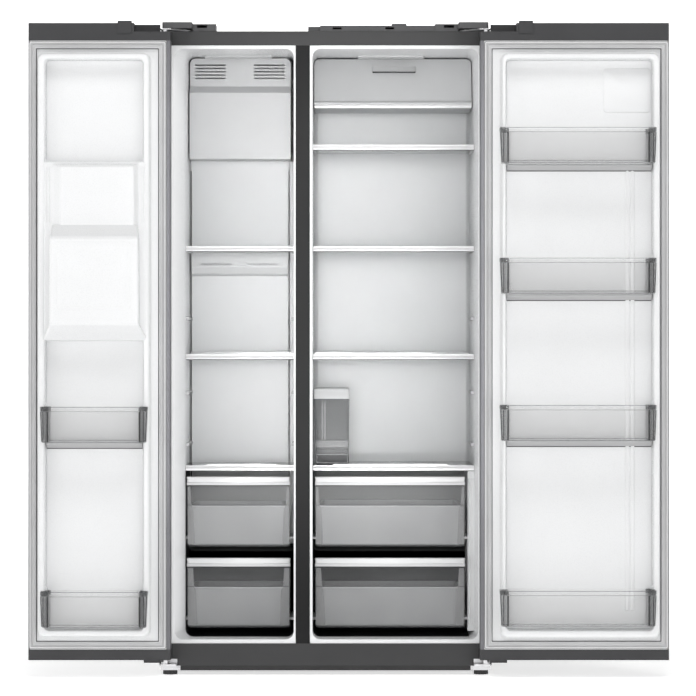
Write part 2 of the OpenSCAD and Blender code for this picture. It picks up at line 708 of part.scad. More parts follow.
module drawer(x, z0, top, y1) {
  x0 = x[0];
  x1 = x[1];
  y0 = shelf_y + 2;
  zt = top - bar_h + 2;
  zs = zt - side_drop;
  t = draw_t;
  color([0.88, 0.89, 0.90]) placed() {
    difference() {
      intersection() {
        slab_y(y0, y1) polygon(rounded([[x0 + 12, z0 + 4], [x1 - 12, z0 + 4],
          [x1 - 9, zs], [x0 + 9, zs]], [16, 16, 0, 0]));
        slab_x(x0, x1) polygon(rounded([[y0, z0 + 4], [y1 - 8, z0 + 4], [y1, zs], [y0, zs]],
          [6, 16, 0, 0]));
      }
      intersection() {
        slab_y(y0 + t, y1 - t) polygon(rounded([[x0 + 12 + t, z0 + 4 + t],
          [x1 - 12 - t, z0 + 4 + t], [x1 - 9 - t, zt + 5], [x0 + 9 + t, zt + 5]],
          [14, 14, 0, 0]));
        slab_x(x0, x1) polygon(rounded([[y0 + t, z0 + 4 + t], [y1 - 8 - t, z0 + 4 + t],
          [y1 - t, zt + 5], [y0 + t, zt + 5]], [4, 14, 0, 0]));
      }
    }
    for (u = [x0 + 2.5, x1 - 13]) box(u, u + 10.5, shelf_y + 27, y1 - 30, z0 + 26.3, z0 + 31);
    slab_y(y0 - t, y0) polygon(rounded([[x0 + 1, z0], [x1 - 1, z0], [x1, zt],
      [x0, zt]], [6, 6, 0, 0]));
    difference() {
      slab_x(x0, x1) polygon(rounded([[shelf_y - 14, top - 12], [shelf_y - 10, top - bar_h],
        [shelf_y - 1, top - bar_h], [shelf_y + 8, top - bar_h], [shelf_y + 8, top],
        [shelf_y - 14, top]], [4, 3, 0, 0, 2, 4]));
      slab_x(x0 + 5, x1 - 5) polygon([[shelf_y - 11, top - 12], [shelf_y - 7, top - bar_h - 1],
        [shelf_y - 2, top - bar_h - 1], [shelf_y - 2, top - 4], [shelf_y - 11, top - 4]]);
    }
  }
}
module freezer_drawer_upper() {
  drawer(fz_draw_x, draw_up_z, draw_up_top, 376);
}
module freezer_drawer_lower() {
  drawer(fz_draw_x, draw_lo_z, draw_lo_top, 340);
}
module fridge_drawer_upper() {
  drawer(fr_draw_x, draw_up_z, draw_up_top, 470);
}
module fridge_drawer_lower() {
  drawer(fr_draw_x, draw_lo_z, draw_lo_top, 340);
}

// ---------- doors ----------

module door_skin(w, z0, z1) {
  color([0.33, 0.33, 0.34]) slab_z(z0, z1) difference() {
    rrect(0, w, 0, door_t, 4);
    rrect(1, w - 1, 1, door_t - 1, 3);
    rect(11, w - 4, door_t / 2, door_t + 1);
  }
}

// insulation of a door: a slab, a bar in each side of the liner's raised ring and a core in
// each bin ledge, drawn as separate blocks
module door_foam_ring(ring) {
  v0 = liner_v + 0.1;
  v1 = door_t + dyke_h - liner_t - 4.5;
  for (u = [ring[0] + 2.8, ring[2] + 2.8]) {
    w = u < ring[1] ? ring[1] - ring[0] - 5.6 : ring[3] - ring[2] - 5.6;
    box(u, u + w, v0, v1, 131, 1679);
  }
  slab_y(v0, v1) polygon([[ring[0] + 17.5, 114.8], [ring[3] - 17.5, 114.8], [ring[3] - 6, 128.2],
    [ring[0] + 6, 128.2]]);
  slab_y(v0, v1) polygon([[ring[0] + 6, 1681.8], [ring[3] - 6, 1681.8], [ring[3] - 17.5, 1694.2],
    [ring[0] + 17.5, 1694.2]]);
}
module door_foam_slab(w) {
  slab_z(door_z0 + cap_bot_h + 0.4, door_z1 - cap_top_h - 0.4)
    rrect(1.3, w - 1.3, 1.3, liner_v - 0.2, 3);
}

// inside of the raised ring of a door liner
module ring_hollow(ring) {
  slab_y(liner_v - 1, door_t + dyke_h - liner_t) difference() {
    rrect(ring[0] + 2.5, ring[3] - 2.5, 114.5, 1694.5, 15.5);
    rrect(ring[1] - 2.5, ring[2] + 2.5, 128.5, 1681.5, 14.5);
  }
}
// door inner liner: flat sheet and a hollow raised ring that carries the bins
module door_liner_shell(w, ring) {
  box(11.3, w - 4.3, liner_v, door_t, door_z0 + cap_bot_h + 0.4, door_z1 - cap_top_h - 0.4);
  slab_y(door_t - 1, door_t + dyke_h) difference() {
    rrect(ring[0], ring[3], 112, 1697, 18);
    rrect(ring[1], ring[2], 131, 1679, 12);
  }
}

// step that a bin stands on, shrunk by g for its hollow and its foam core
module bin_ledge(ring, z, g, r) {
  slab_x(ring[1] + 6 + g, ring[2] - 6 - g) polygon(rounded([
    [g > 0 ? liner_v - 1 : door_t - 1, z - 16 + g], [door_t + 5, z - 15 + g],
    [door_t + 24 - g * 1.6, z - 4.2], [door_t + 24 - g * 1.6, z - 0.8 - g],
    [g > 0 ? liner_v - 1 : door_t - 1, z - 0.8 - g]], [0, r, r / 2, r / 3, 0]));
}
module ledge_core(ring, z) {
  intersection() {
    bin_ledge(ring, z, 2.8, 0);
    box(0, 600, liner_v + 0.1, 200, 0, 1800);
  }
}

module gasket(w) {
  z0 = door_z0 + cap_bot_h + 2;
  z1 = door_z1 - cap_top_h - 2;
  color([0.62, 0.62, 0.63]) {
    slab_y(door_t + 0.02, door_t + 2.2) difference() {
      rrect(11.6, w - 2, z0, z1, 3);
      rrect(33.5, w - 26, 102, 1707, 6);
    }
    slab_y(door_t + 2.2, door_t + door_gap - 0.5) difference() {
      rrect(22.5, w - 6, z0 + 3, z1 - 3, 4);
      rrect(31.5, w - 23, 99, 1710, 5);
    }
  }
}

module door_caps(w, plug_u) {
  difference() {
    union() {
      slab_z(door_z1 - cap_top_h + 0.05, door_z1) rrect(0, w, 0, door_t, 4);
      box(106, 144, 34, door_t + 3, door_z1 - 28, door_z1 + 6);
      translate([plug_u, door_t + 0.9, 1745]) rotate([90, 0, 0]) cylinder(r = 6, h = 2);
    }
    box(-1, 99, 4, door_t + 1, door_z1 - 23, door_z1 + 1);
    box(-1, 30, -1, 5, door_z1 - 23, door_z1 + 1);
    box(55, 56.5, door_t - 3, door_t + 1, door_z1 - 30, door_z1 - 22);
    translate([pin_u, pin_v, door_z1 - 45]) cylinder(r = pin_r + 0.06, h = 60);
    slab_z(door_z1 - cap_top_h - 1, door_z1 - cap_top_h + 18) rrect(44, w - 4, 4, door_t - 4, 3);
  }
  difference() {
    union() {
      slab_z(door_z0, door_z0 + cap_bot_h - 0.05) rrect(0, w, 0, door_t, 4);
      box(29, 74, 12, 46, door_z0 - 8.5, door_z0 + 1);
    }
    translate([pin_u, pin_v, door_z0 - 1]) cylinder(r = pin_r + 0.06, h = 24);
    slab_z(door_z0 + 12, door_z0 + cap_bot_h + 1) rrect(80, w - 4, 4, door_t - 4, 3);
  }
}

module freezer_door_skin() {
  on_freezer_door() difference() {
    door_skin(fz_door_w, door_z0 + cap_bot_h, door_z1 - cap_top_h);
    slab_y(-1, 3) rrect(disp[0], disp[1], disp[2], disp[3], 8);
  }
}
module freezer_door_foam() {
  u0 = disp[0] - 4;
  u1 = disp[1] + 4;
  color([0.93, 0.88, 0.70]) on_freezer_door() {
    difference() {
      door_foam_slab(fz_door_w);
      box(u0, u1, 0, door_t, disp[2] - 4, disp[3] + 4);
      box(-1, u0 + 1, 0, door_t, disp[2] - 4, disp[2] - 4 + eps);
      box(u1 - 1, 500, 0, door_t, disp[2] - 4, disp[2] - 4 + eps);
      box(-1, u0 + 1, 0, door_t, disp[3] + 4 - eps, disp[3] + 4);
      box(u1 - 1, 500, 0, door_t, disp[3] + 4 - eps, disp[3] + 4);
    }
    door_foam_ring(fz_ring);
    ledge_core(fz_ring, fz_bin_z[0]);
    dispenser_foam(u0, u1);
  }
}
// insulation round the dispenser recess, block by block
module dispenser_foam(u0, u1) {
  v0 = liner_v + 0.1;
  a = fz_ring[1] - 2.5 + eps;
  b = fz_ring[2] + 2.5 - eps;
  for (u = [[a, u0 - 0.5], [u1 + 0.5, b]]) box(u[0], u[1], v0, 93.2, 921, 1398);
  box(u0 - 0.2, u1 + 0.2, v0, 93.2, 921, disp[2] - 4.3);
  box(u0 - 0.2, u1 + 0.2, v0, 93.2, disp[3] + 4.3, 1398);
  for (u = [[90, u0 - 0.5], [u1 + 0.5, 314]]) {
    box(u[0], u[1], 93.5, 139.5, 966, 1188);
    box(u[0], u[1], 93.5, 109, 1188.3, 1224);
  }
  box(u0 - 0.2, u1 + 0.2, 93.5, 142.9, 962, disp[2] - 4.3);
  box(u0 - 0.2, u1 + 0.2, 136, 142.9, disp[2] - 4, 1191);
  box(102, 287, 100, 113, 1191.3, 1385);
}

// back of the dispenser: forward box, slopes and upper panel, hollow from the front
module dispenser_back(g) {
  intersection() {
    union() {
      slab_x(81 + g, 324 - g) polygon([[door_t - 2 - g, 940 + g], [88, 940 + g], [146 - g, 962 + g],
        [146 - g, 1194 - g], [116 - g, 1229], [116 - g, 1388 - g], [100, 1396 - g],
        [door_t - 2 - g, 1396 - g]]);
      slab_y(door_t - 2 - g, 96 - g) rect(60 + g, 345 - g, 918 + g, 1401 - g);
      slab_y(door_t - 2 - g, 146 - g) polygon([[81 + g, 959 + g], [324 - g, 959 + g],
        [324 - g, 1000], [81 + g, 1000]]);
    }
    slab_x(40, 370) polygon([[50, 918 + g], [96, 918 + g], [146, 959 + g], [146, 1198 - g],
      [120, 1229], [120, 1401 - g], [50, 1401 - g]]);
    union() {
      slab_z(900, 1229 - g) rect(40, 370, 40, 160);
      slab_z(1228 - g, 1402) polygon([[60 + g, 40], [345 - g, 40], [345 - g, 96 - g],
        [323 - g, 96 - g], [290 - g, 116 - g], [99 + g, 116 - g], [83 + g, 96 - g],
        [60 + g, 96 - g]]);
    }
  }
}

module freezer_door_liner() {
  color([0.96, 0.96, 0.96]) on_freezer_door() {
    difference() {
      union() {
        door_liner_shell(fz_door_w, fz_ring);
        dispenser_back(0);
        bin_ledge(fz_ring, fz_bin_z[0], 0, 3);
      }
      ring_hollow(fz_ring);
      bin_ledge(fz_ring, fz_bin_z[0], 2.5, 0);
      dispenser_back(2.5);
      box(disp[0] - 4, disp[1] + 4, 40, door_t + 1, disp[2] - 4, disp[3] + 4);
      slab_y(145.3, 147) difference() {
        rrect(104, 303, 1000, 1184, 5);
        rrect(106, 301, 1002, 1182, 4);
      }
      slab_y(145.3, 147) difference() {
        rrect(114, 291, 1006, 1176, 5);
        rrect(115.5, 289.5, 1007.5, 1174.5, 4);
      }
    }
  }
}
module freezer_door_gasket() {
  on_freezer_door() gasket(fz_door_w);
}
module freezer_door_caps() {
  color([0.32, 0.32, 0.33]) on_freezer_door() door_caps(fz_door_w, 347);
}

// dispenser recess in the front of the freezer door, with its control fascia and spout
module dispenser_housing() {
  color([0.10, 0.10, 0.11]) on_freezer_door() difference() {
    union() {
      slab_y(-1.5, -0.05) rrect(disp[0] - 6, disp[1] + 6, disp[2] - 6, disp[3] + 6, 10);
      slab_y(-0.5, 132) rrect(disp[0] + 0.5, disp[1] - 0.5, disp[2] + 0.5, 1180, 6);
      slab_y(-0.5, 96) rrect(disp[0] + 0.5, disp[1] - 0.5, 1100, disp[3] - 0.5, 6);
    }
    difference() {
      slab_y(-3, 129) rrect(disp[0] + 8, disp[1] - 8, disp[2] + 10, 1176, 8);
      for (u = [160, 234.6]) difference() {
        box(u, u + 9.4, 66, 80, 1156, 1180);
        translate([u - 1, 73, 1165]) rotate([0, 90, 0]) cylinder(r = 4.06, h = 12);
      }
      translate([202, 42, 1162]) cylinder(r = 9, h = 18);
    }
    slab_y(-3, -0.9) rrect(disp[0] + 12, disp[1] - 12, 1250, 1316, 6);
    slab_y(-3, 0.5) difference() {
      rrect(disp[0] + 2, disp[1] - 2, 1200, disp[3] - 2, 6);
      rrect(disp[0] + 3, disp[1] - 3, 1201, disp[3] - 3, 5);
    }
  }
}
module dispenser_paddle() {
  color([0.16, 0.16, 0.17]) on_freezer_door() {
    slab_x(176, 228) polygon(rounded([[70, 1168], [76, 1168], [98, 1060], [92, 1052], [88, 1060]],
      [2, 2, 3, 3, 3]));
    translate([163, 73, 1165]) rotate([0, 90, 0]) cylinder(r = 4, h = 78);
  }
}

module fridge_door_skin() {
  on_fridge_door() door_skin(fr_door_w, door_z0 + cap_bot_h, door_z1 - cap_top_h);
}
module fridge_door_foam() {
  color([0.93, 0.88, 0.70]) on_fridge_door() {
    door_foam_slab(fr_door_w);
    door_foam_ring(fr_ring);
    for (i = [0 : 2]) ledge_core(fr_ring, fr_bin_z[i]);
  }
}
module fridge_door_liner() {
  color([0.96, 0.96, 0.96]) on_fridge_door() difference() {
    union() {
      door_liner_shell(fr_door_w, fr_ring);
      for (i = [0 : 2]) bin_ledge(fr_ring, fr_bin_z[i], 0, 3);
      slab_y(door_t - 1, door_t + 2) rrect(335, 464, 1535, 1657, 8);
    }
    ring_hollow(fr_ring);
    for (i = [0 : 2]) bin_ledge(fr_ring, fr_bin_z[i], 2.5, 0);
  }
}
module fridge_door_gasket() {
  on_fridge_door() gasket(fr_door_w);
}
module fridge_door_caps() {
  color([0.32, 0.32, 0.33]) on_fridge_door() door_caps(fr_door_w, 471);
}

// ---------- door bins ----------

module bin_plan(u0, u1, r0, r1, v1, g) {
  v0 = door_t + dyke_h + 0.6;
  polygon(rounded([[u0 + g, v0 + g], [u1 - g, v0 + g], [u1 - g, v1 - g], [u0 + g, v1 - g]],
    [0, 0, 22 - g, 22 - g]));
  rect(r0 + 2 + g, r1 - 2 - g, door_t + 0.8 + g, v0 + 20);
}
module bin_solid(u0, u1, ring, v1, z0, z1, g) {
  intersection() {
    slab_z(z0 + g, z1 + (g > 0 ? 1 : 0)) bin_plan(u0, u1, ring[1], ring[2], v1, g);
    slab_y(0, 200) polygon([[u0 + 4 + g, z0 - 1], [u1 - 4 - g, z0 - 1], [u1 - g, z1 + 2],
      [u0 + g, z1 + 2]]);
  }
}
module door_bin(u, ring, v1, z0) {
  u0 = u[0];
  u1 = u[1];
  z1 = z0 + bin_h;
  color([0.80, 0.83, 0.85]) {
    difference() {
      bin_solid(u0, u1, ring, v1, z0, z1, 0);
      bin_solid(u0, u1, ring, v1, z0, z1, bin_t);
      for (a = [u0 + bin_end_w, u1 - bin_end_w]) box(a, a + 0.1, 50, 200, z0 - 1, z1 + 1);
      box(u0 + bin_end_w, u1 - bin_end_w, v1 - 9, v1 + 1, z1 - 2.5, z1 + 1);
    }
  }
}
module freezer_bin_upper() {
  on_freezer_door() door_bin(fz_bin_u, fz_ring, fz_bin_front, fz_bin_z[0]);
}
module freezer_bin_lower() {
  on_freezer_door() door_bin(fz_bin_u, fz_ring, fz_bin_front, fz_bin_z[1]);
}
module fridge_bin(i) {
  on_fridge_door() door_bin(fr_bin_u, fr_ring, bin_front, fr_bin_z[i]);
}
module fridge_bin_1() {
  fridge_bin(0);
}
module fridge_bin_2() {
  fridge_bin(1);
}
module fridge_bin_3() {
  fridge_bin(2);
}
module fridge_bin_4() {
  fridge_bin(3);
}

// ---------- water tank ----------

module water_tank() {
  z0 = cover_z - 4.1;
  x0 = fr_x0 + 2;
  x1 = 65.5;
  color([0.55, 0.57, 0.58]) placed() {
    difference() {
      slab_y(120, 330) polygon(rounded([[x0 + 7, z0], [x1 - 2, z0], [x1, z0 + 184],
        [x0, z0 + 184]], [4, 4, 0, 0]));
      slab_y(123, 327) polygon([[x0 + 10, z0 + 3], [x1 - 5, z0 + 3], [x1 - 3, z0 + 188],
        [x0 + 3, z0 + 188]]);
    }
    difference() {
      slab_y(117, 333) polygon(rounded([[x0 - 1, z0 + 184.1], [x1 + 1, z0 + 184.1],
        [x1 + 1, z0 + 214], [x0 - 1, z0 + 214]], [2, 2, 5, 5]));
      box(x0 + 3, x1 - 3, 121, 329, z0 + 178, z0 + 210);
      slab_z(z0 + 200, z0 + 214) rrect(x0 + 22, x1 - 22, 250, 300, 8);
    }
  }
}

cabinet_wrap();
back_panel();
base_pan();
front_frame();
centre_rail();
plinth();
cabinet_foam();
freezer_liner();
fridge_liner();
machine_cover();
compressor();
condenser();
drain_pan();
evaporator();
freezer_top_cover();
freezer_back_cover();
fridge_duct_cover();
lamp_lenses();
shelf_supports();
drawer_runners();
freezer_drawer_cover();
fridge_drawer_cover();
control_box();
top_hinge_brackets();
hinge_covers();
bottom_hinge_brackets();
front_foot_left();
front_foot_right();
rear_roller_left();
rear_roller_right();
condenser_fan();
evaporator_fan();
freezer_shelf_upper();
freezer_shelf_lower();
fridge_shelf_top();
fridge_shelf_middle();
fridge_shelf_bottom();
freezer_drawer_upper();
freezer_drawer_lower();
fridge_drawer_upper();
fridge_drawer_lower();
freezer_bin_upper();
freezer_bin_lower();
fridge_bin_1();
fridge_bin_2();
fridge_bin_3();
fridge_bin_4();
freezer_door_skin();
freezer_door_foam();
freezer_door_liner();
freezer_door_gasket();
freezer_door_caps();
fridge_door_skin();
fridge_door_foam();
fridge_door_liner();
fridge_door_gasket();
fridge_door_caps();
dispenser_housing();
dispenser_paddle();
water_tank();
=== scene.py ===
"""Side by side refrigerator with both doors open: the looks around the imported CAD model.

Pieces are drawn in millimetres in three spaces and placed in the frame's metres:
cabinet(x, y, z)        x from the cabinet's middle, y back from its front face, z up
freezer_door(u, v, z)   u from the hinge edge, v from the outer face towards the inside, z up
fridge_door(u, v, z)    the same for the right door
"""

import math

import bmesh
import bpy
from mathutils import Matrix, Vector


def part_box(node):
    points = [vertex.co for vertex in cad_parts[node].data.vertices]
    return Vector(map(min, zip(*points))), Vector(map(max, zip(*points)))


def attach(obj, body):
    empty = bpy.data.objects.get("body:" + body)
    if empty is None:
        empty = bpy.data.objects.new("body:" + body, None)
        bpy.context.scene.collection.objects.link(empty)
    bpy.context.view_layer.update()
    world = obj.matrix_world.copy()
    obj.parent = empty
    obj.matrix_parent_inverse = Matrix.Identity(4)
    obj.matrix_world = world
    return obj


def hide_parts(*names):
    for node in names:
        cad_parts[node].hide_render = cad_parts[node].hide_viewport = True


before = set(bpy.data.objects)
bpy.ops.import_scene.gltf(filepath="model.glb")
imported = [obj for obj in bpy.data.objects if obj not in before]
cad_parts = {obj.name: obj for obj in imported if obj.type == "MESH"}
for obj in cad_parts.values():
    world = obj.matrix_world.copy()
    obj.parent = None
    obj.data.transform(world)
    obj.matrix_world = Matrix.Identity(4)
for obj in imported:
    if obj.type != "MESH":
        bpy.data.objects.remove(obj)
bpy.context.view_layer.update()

MM = 0.001
SAME_PLACE = 1e-6  # metres; points closer than this are one point


# ---------- spaces

def box_mm(node, origin, side_x=1, side_y=1):
    """Lowest and highest corner of a CAD node in one of the spaces, in millimetres."""
    low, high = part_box(node)
    xs = sorted((corner.x - origin.x) * side_x / MM for corner in (low, high))
    ys = sorted((corner.y - origin.y) * side_y / MM for corner in (low, high))
    return (xs[0], ys[0], low.z / MM), (xs[1], ys[1], high.z / MM)


def space(origin, side_x, side_y):
    """A function that turns millimetres in a space into a point of the frame."""
    def place(a, b, z):
        return Vector((origin.x + side_x * a * MM, origin.y + side_y * b * MM, z * MM))
    return place


frame_low, frame_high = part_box("front_frame")
CABINET_ORIGIN = Vector(((frame_low.x + frame_high.x) / 2, frame_low.y, 0))
cabinet = space(CABINET_ORIGIN, 1, 1)

skin_low, skin_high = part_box("freezer_door_skin")
FREEZER_ORIGIN = Vector((skin_high.x, skin_high.y, 0))
freezer_door = space(FREEZER_ORIGIN, -1, -1)

skin_low, skin_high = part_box("fridge_door_skin")
FRIDGE_ORIGIN = Vector((skin_low.x, skin_high.y, 0))
fridge_door = space(FRIDGE_ORIGIN, 1, -1)
DOOR_T = (skin_high.y - skin_low.y) / MM


def in_cabinet(node):
    return box_mm(node, CABINET_ORIGIN)


def in_freezer_door(node):
    return box_mm(node, FREEZER_ORIGIN, -1, -1)


def in_fridge_door(node):
    return box_mm(node, FRIDGE_ORIGIN, 1, -1)


# ---------- outlines

def arc(cx, cy, r, a0, a1, n):
    """Points on an arc from a0 to a1 degrees, both ends included."""
    return [(cx + r * math.cos(math.radians(a0 + (a1 - a0) * i / n)),
             cy + r * math.sin(math.radians(a0 + (a1 - a0) * i / n))) for i in range(n + 1)]


def round_rect(a0, a1, b0, b1, r, n=5):
    """Rounded rectangle, anticlockwise from its lower left corner."""
    r = min(r, (a1 - a0) / 2 - 0.01, (b1 - b0) / 2 - 0.01)
    return (arc(a0 + r, b0 + r, r, 180, 270, n) + arc(a1 - r, b0 + r, r, 270, 360, n)
            + arc(a1 - r, b1 - r, r, 0, 90, n) + arc(a0 + r, b1 - r, r, 90, 180, n))


def soften(points, radii, n=4):
    """A polygon with some of its corners rounded."""
    out = []
    count = len(points)
    for i, (p, r) in enumerate(zip(points, radii)):
        if r <= 0:
            out.append(p)
            continue
        before, here, after = Vector(points[i - 1]), Vector(p), Vector(points[(i + 1) % count])
        to_before, to_after = (before - here).normalized(), (after - here).normalized()
        half = to_before.angle(to_after) / 2
        start = here + to_before * r / math.tan(half)
        end = here + to_after * r / math.tan(half)
        centre = here + (to_before + to_after).normalized() * r / math.sin(half)
        a0 = math.atan2(start.y - centre.y, start.x - centre.x)
        turn = math.atan2(end.y - centre.y, end.x - centre.x) - a0
        turn = (turn + math.pi) % (2 * math.pi) - math.pi
        angles = [a0 + turn * k / n for k in range(n + 1)]
        out += [(centre.x + r * math.cos(a), centre.y + r * math.sin(a)) for a in angles]
    return out


def upright(points, depth):
    """An outline drawn across and up, set at a depth of its space."""
    return [(a, depth, z) for a, z in points]


def level_at(points, z):
    """An outline drawn across and in depth, set at a height."""
    return [(a, b, z) for a, b in points]


# ---------- meshes

def add_object(name, data):
    obj = bpy.data.objects.new(name, data)
    bpy.context.scene.collection.objects.link(obj)
    return obj


class Shape:
    """The mesh of one piece while it is built, in the millimetres of one space."""

    def __init__(self, place):
        self.place = place
        self.mesh = bmesh.new()

    def face(self, corners, material):
        self.mesh.faces.new(corners).material_index = material

    def loft(self, rings, material=0, caps=True, closed=False):
        """A skin through rings with the same number of points.

        material may be a function of the ring's number and the middle of the face."""
        rows = [[self.mesh.verts.new(self.place(*p)) for p in ring] for ring in rings]
        pairs = list(zip(rows, rows[1:]))
        if closed:
            pairs.append((rows[-1], rows[0]))
        for k, (row, following) in enumerate(pairs):
            for i in range(len(row)):
                j = (i + 1) % len(row)
                number = material
                if callable(material):
                    a, b = rings[k][i], rings[(k + 1) % len(rings)][j]
                    number = material(k, [(s + t) / 2 for s, t in zip(a, b)])
                self.face((row[i], row[j], following[j], following[i]), number)
        for k in (0, -1) if caps and not closed else ():
            number = material
            if callable(material):
                middle = [sum(p[c] for p in rings[k]) / len(rings[k]) for c in range(3)]
                number = material(len(rings) if k else 0, middle)
            self.face(rows[k], number)
        return self

    def prism(self, outline, axis, start, end, material=0):
        """An outline carried along one axis; it is drawn in the other two coordinates."""
        def at(p, t):
            return {"x": (t, p[0], p[1]), "y": (p[0], t, p[1]), "z": (p[0], p[1], t)}[axis]
        return self.loft([[at(p, start) for p in outline], [at(p, end) for p in outline]], material)

    def hoop(self, outer, inner, start, end):
        """A frame between two upright outlines, from one depth to another."""
        self.loft([upright(outer, start), upright(outer, end), upright(inner, end), upright(inner, start)],
                  closed=True)

    def open_back(self, v):
        """Drops the faces that lie flat at a depth of the space."""
        y = self.place(0, v, 0).y
        flat = [f for f in self.mesh.faces if all(abs(corner.co.y - y) < SAME_PLACE for corner in f.verts)]
        bmesh.ops.delete(self.mesh, geom=flat, context="FACES")

    def cut(self, point, normal):
        """Keeps the side that the normal points away from, and closes the cut."""
        geom = self.mesh.verts[:] + self.mesh.edges[:] + self.mesh.faces[:]
        at = self.place(*point)
        direction = (self.place(*[p + n for p, n in zip(point, normal)]) - at).normalized()
        found = bmesh.ops.bisect_plane(
            self.mesh, geom=geom, plane_co=at, plane_no=direction, clear_outer=True)
        edges = [e for e in found["geom_cut"] if isinstance(e, bmesh.types.BMEdge)]
        bmesh.ops.triangle_fill(self.mesh, edges=edges, use_beauty=True)

    def piece(self, name, body, slot, materials, bevel=0.0, angle=28, segments=3, replaces=()):
        """Turns the mesh into an object that rides on a body."""
        bmesh.ops.remove_doubles(self.mesh, verts=self.mesh.verts, dist=2 * SAME_PLACE)
        bmesh.ops.dissolve_degenerate(self.mesh, edges=self.mesh.edges, dist=SAME_PLACE)
        bmesh.ops.recalc_face_normals(self.mesh, faces=self.mesh.faces)
        data = bpy.data.meshes.new(name)
        self.mesh.to_mesh(data)
        self.mesh.free()
        for polygon in data.polygons:
            polygon.use_smooth = True
        obj = add_object(name, data)
        for material in materials if isinstance(materials, (list, tuple)) else [materials]:
            data.materials.append(material)
        if bevel:
            add_bevel(obj, bevel, angle, segments)
        else:
            data.set_sharp_from_angle(angle=math.radians(angle))
        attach(obj, body)
        if replaces:
            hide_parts(*replaces)
        return obj


def add_bevel(obj, width, angle, segments):
    """Rounds the edges that are sharper than angle and shades the flats flat."""
    bevel = obj.modifiers.new("round_edges", "BEVEL")
    bevel.width = width * MM
    bevel.segments = segments
    bevel.limit_method = "ANGLE"
    bevel.angle_limit = math.radians(angle)
    bevel.miter_outer = "MITER_ARC"
    bevel.use_clamp_overlap = True
    weighted = obj.modifiers.new("even_shading", "WEIGHTED_NORMAL")
    weighted.keep_sharp = False
    weighted.weight = 60


NODE_EDGE_ANGLE = 32
NODE_FLAT_ANGLE = 0.6


def finish_node(node, material, bevel):
    """A CAD node that stays: its own material, and rounded edges that catch the light."""
    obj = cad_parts[node]
    obj.data.materials.clear()
    obj.data.materials.append(material)
    for polygon in obj.data.polygons:
        polygon.material_index = 0
        polygon.use_smooth = True
    weld = obj.modifiers.new("join_faces", "WELD")
    weld.merge_threshold = 2 * SAME_PLACE
    flat = obj.modifiers.new("merge_flats", "DECIMATE")
    flat.decimate_type = "DISSOLVE"
    flat.angle_limit = math.radians(NODE_FLAT_ANGLE)
    add_bevel(obj, bevel, NODE_EDGE_ANGLE, 2)


# ---------- materials

def shade(color, factor):
    return tuple(min(1.0, c * factor) for c in color)


class Nodes:
    """Short names for building a material's node tree."""

    def __init__(self, material):
        self.material = material
        material.use_nodes = True
        self.tree = material.node_tree
        self.shader = self.tree.nodes["Principled BSDF"]
        self.coords = self.tree.nodes.new("ShaderNodeTexCoord")

    def new(self, kind, **values):
        node = self.tree.nodes.new(kind)
        for key, value in values.items():
            setattr(node, key, value)
        return node

    def link(self, source, target):
        self.tree.links.new(source, target)

    def scaled(self, scale):
        mapping = self.new("ShaderNodeMapping")
        mapping.inputs["Scale"].default_value = scale
        self.link(self.coords.outputs["Object"], mapping.inputs["Vector"])
        return mapping.outputs["Vector"]

    def noise(self, scale, detail, rough=0.55, stretch=(1, 1, 1)):
        noise = self.new("ShaderNodeTexNoise")
        noise.inputs["Scale"].default_value = scale
        noise.inputs["Detail"].default_value = detail
        noise.inputs["Roughness"].default_value = rough
        self.link(self.scaled(stretch), noise.inputs["Vector"])
        return noise.outputs["Fac"]

    def paint(self, fac, *stops):
        """Base colour that runs between two stops, each a place on the ramp and a colour."""
        ramp = self.new("ShaderNodeValToRGB")
        for element, (position, color) in zip(ramp.color_ramp.elements, stops):
            element.position = position
            element.color = (*color, 1)
        self.link(fac, ramp.inputs["Fac"])
        self.link(ramp.outputs["Color"], self.shader.inputs["Base Color"])

    def range(self, fac, low, high):
        spread = self.new("ShaderNodeMapRange")
        spread.inputs["To Min"].default_value = low
        spread.inputs["To Max"].default_value = high
        self.link(fac, spread.inputs["Value"])
        return spread.outputs["Result"]

    def drive(self, socket, fac, low, high):
        """Lets a value of the shader run between two limits."""
        self.link(self.range(fac, low, high), self.shader.inputs[socket])

    def bump(self, height, strength, distance):
        bump = self.new("ShaderNodeBump")
        bump.inputs["Strength"].default_value = strength
        bump.inputs["Distance"].default_value = distance
        self.link(height, bump.inputs["Height"])
        self.link(bump.outputs["Normal"], self.shader.inputs["Normal"])

    def set(self, **values):
        for key, value in values.items():
            self.shader.inputs[key.replace("_", " ")].default_value = value


def new_nodes(name):
    return Nodes(bpy.data.materials.new(name))


def plastic(name, color, rough, grain, bump, vary, **extra):
    """Moulded plastic or paint: faint cloudy colour, a fine grain in the gloss and the surface."""
    n = new_nodes(name)
    cloud = n.noise(9.0, 4.0)
    n.paint(cloud, (0.25, shade(color, 1 - vary)), (0.75, shade(color, 1 + vary)))
    fine = n.noise(grain, 2.0, 0.6)
    n.drive("Roughness", fine, rough * 0.85, min(1.0, rough * 1.15))
    n.bump(fine, bump, 0.0004)
    n.set(**extra)
    return n.material


def brushed(name, color, rough, axis, metallic):
    """Brushed sheet: long fine scratches along the x or the z axis."""
    n = new_nodes(name)
    stretch = {"x": (0.02, 1, 1), "z": (1, 1, 0.02)}[axis]
    lines = n.noise(900.0, 3.0, 0.7, stretch)
    cloud = n.noise(3.0, 3.0)
    mix = n.new("ShaderNodeMath", operation="MULTIPLY_ADD")
    n.link(lines, mix.inputs[0])
    mix.inputs[1].default_value = 0.6
    n.link(n.range(cloud, 0.1, 0.3), mix.inputs[2])
    n.paint(mix.outputs[0], (0.2, shade(color, 0.86)), (0.8, shade(color, 1.12)))
    n.drive("Roughness", lines, rough * 0.8, rough * 1.3)
    n.bump(lines, 0.05, 0.0003)
    n.set(Metallic=metallic)
    return n.material


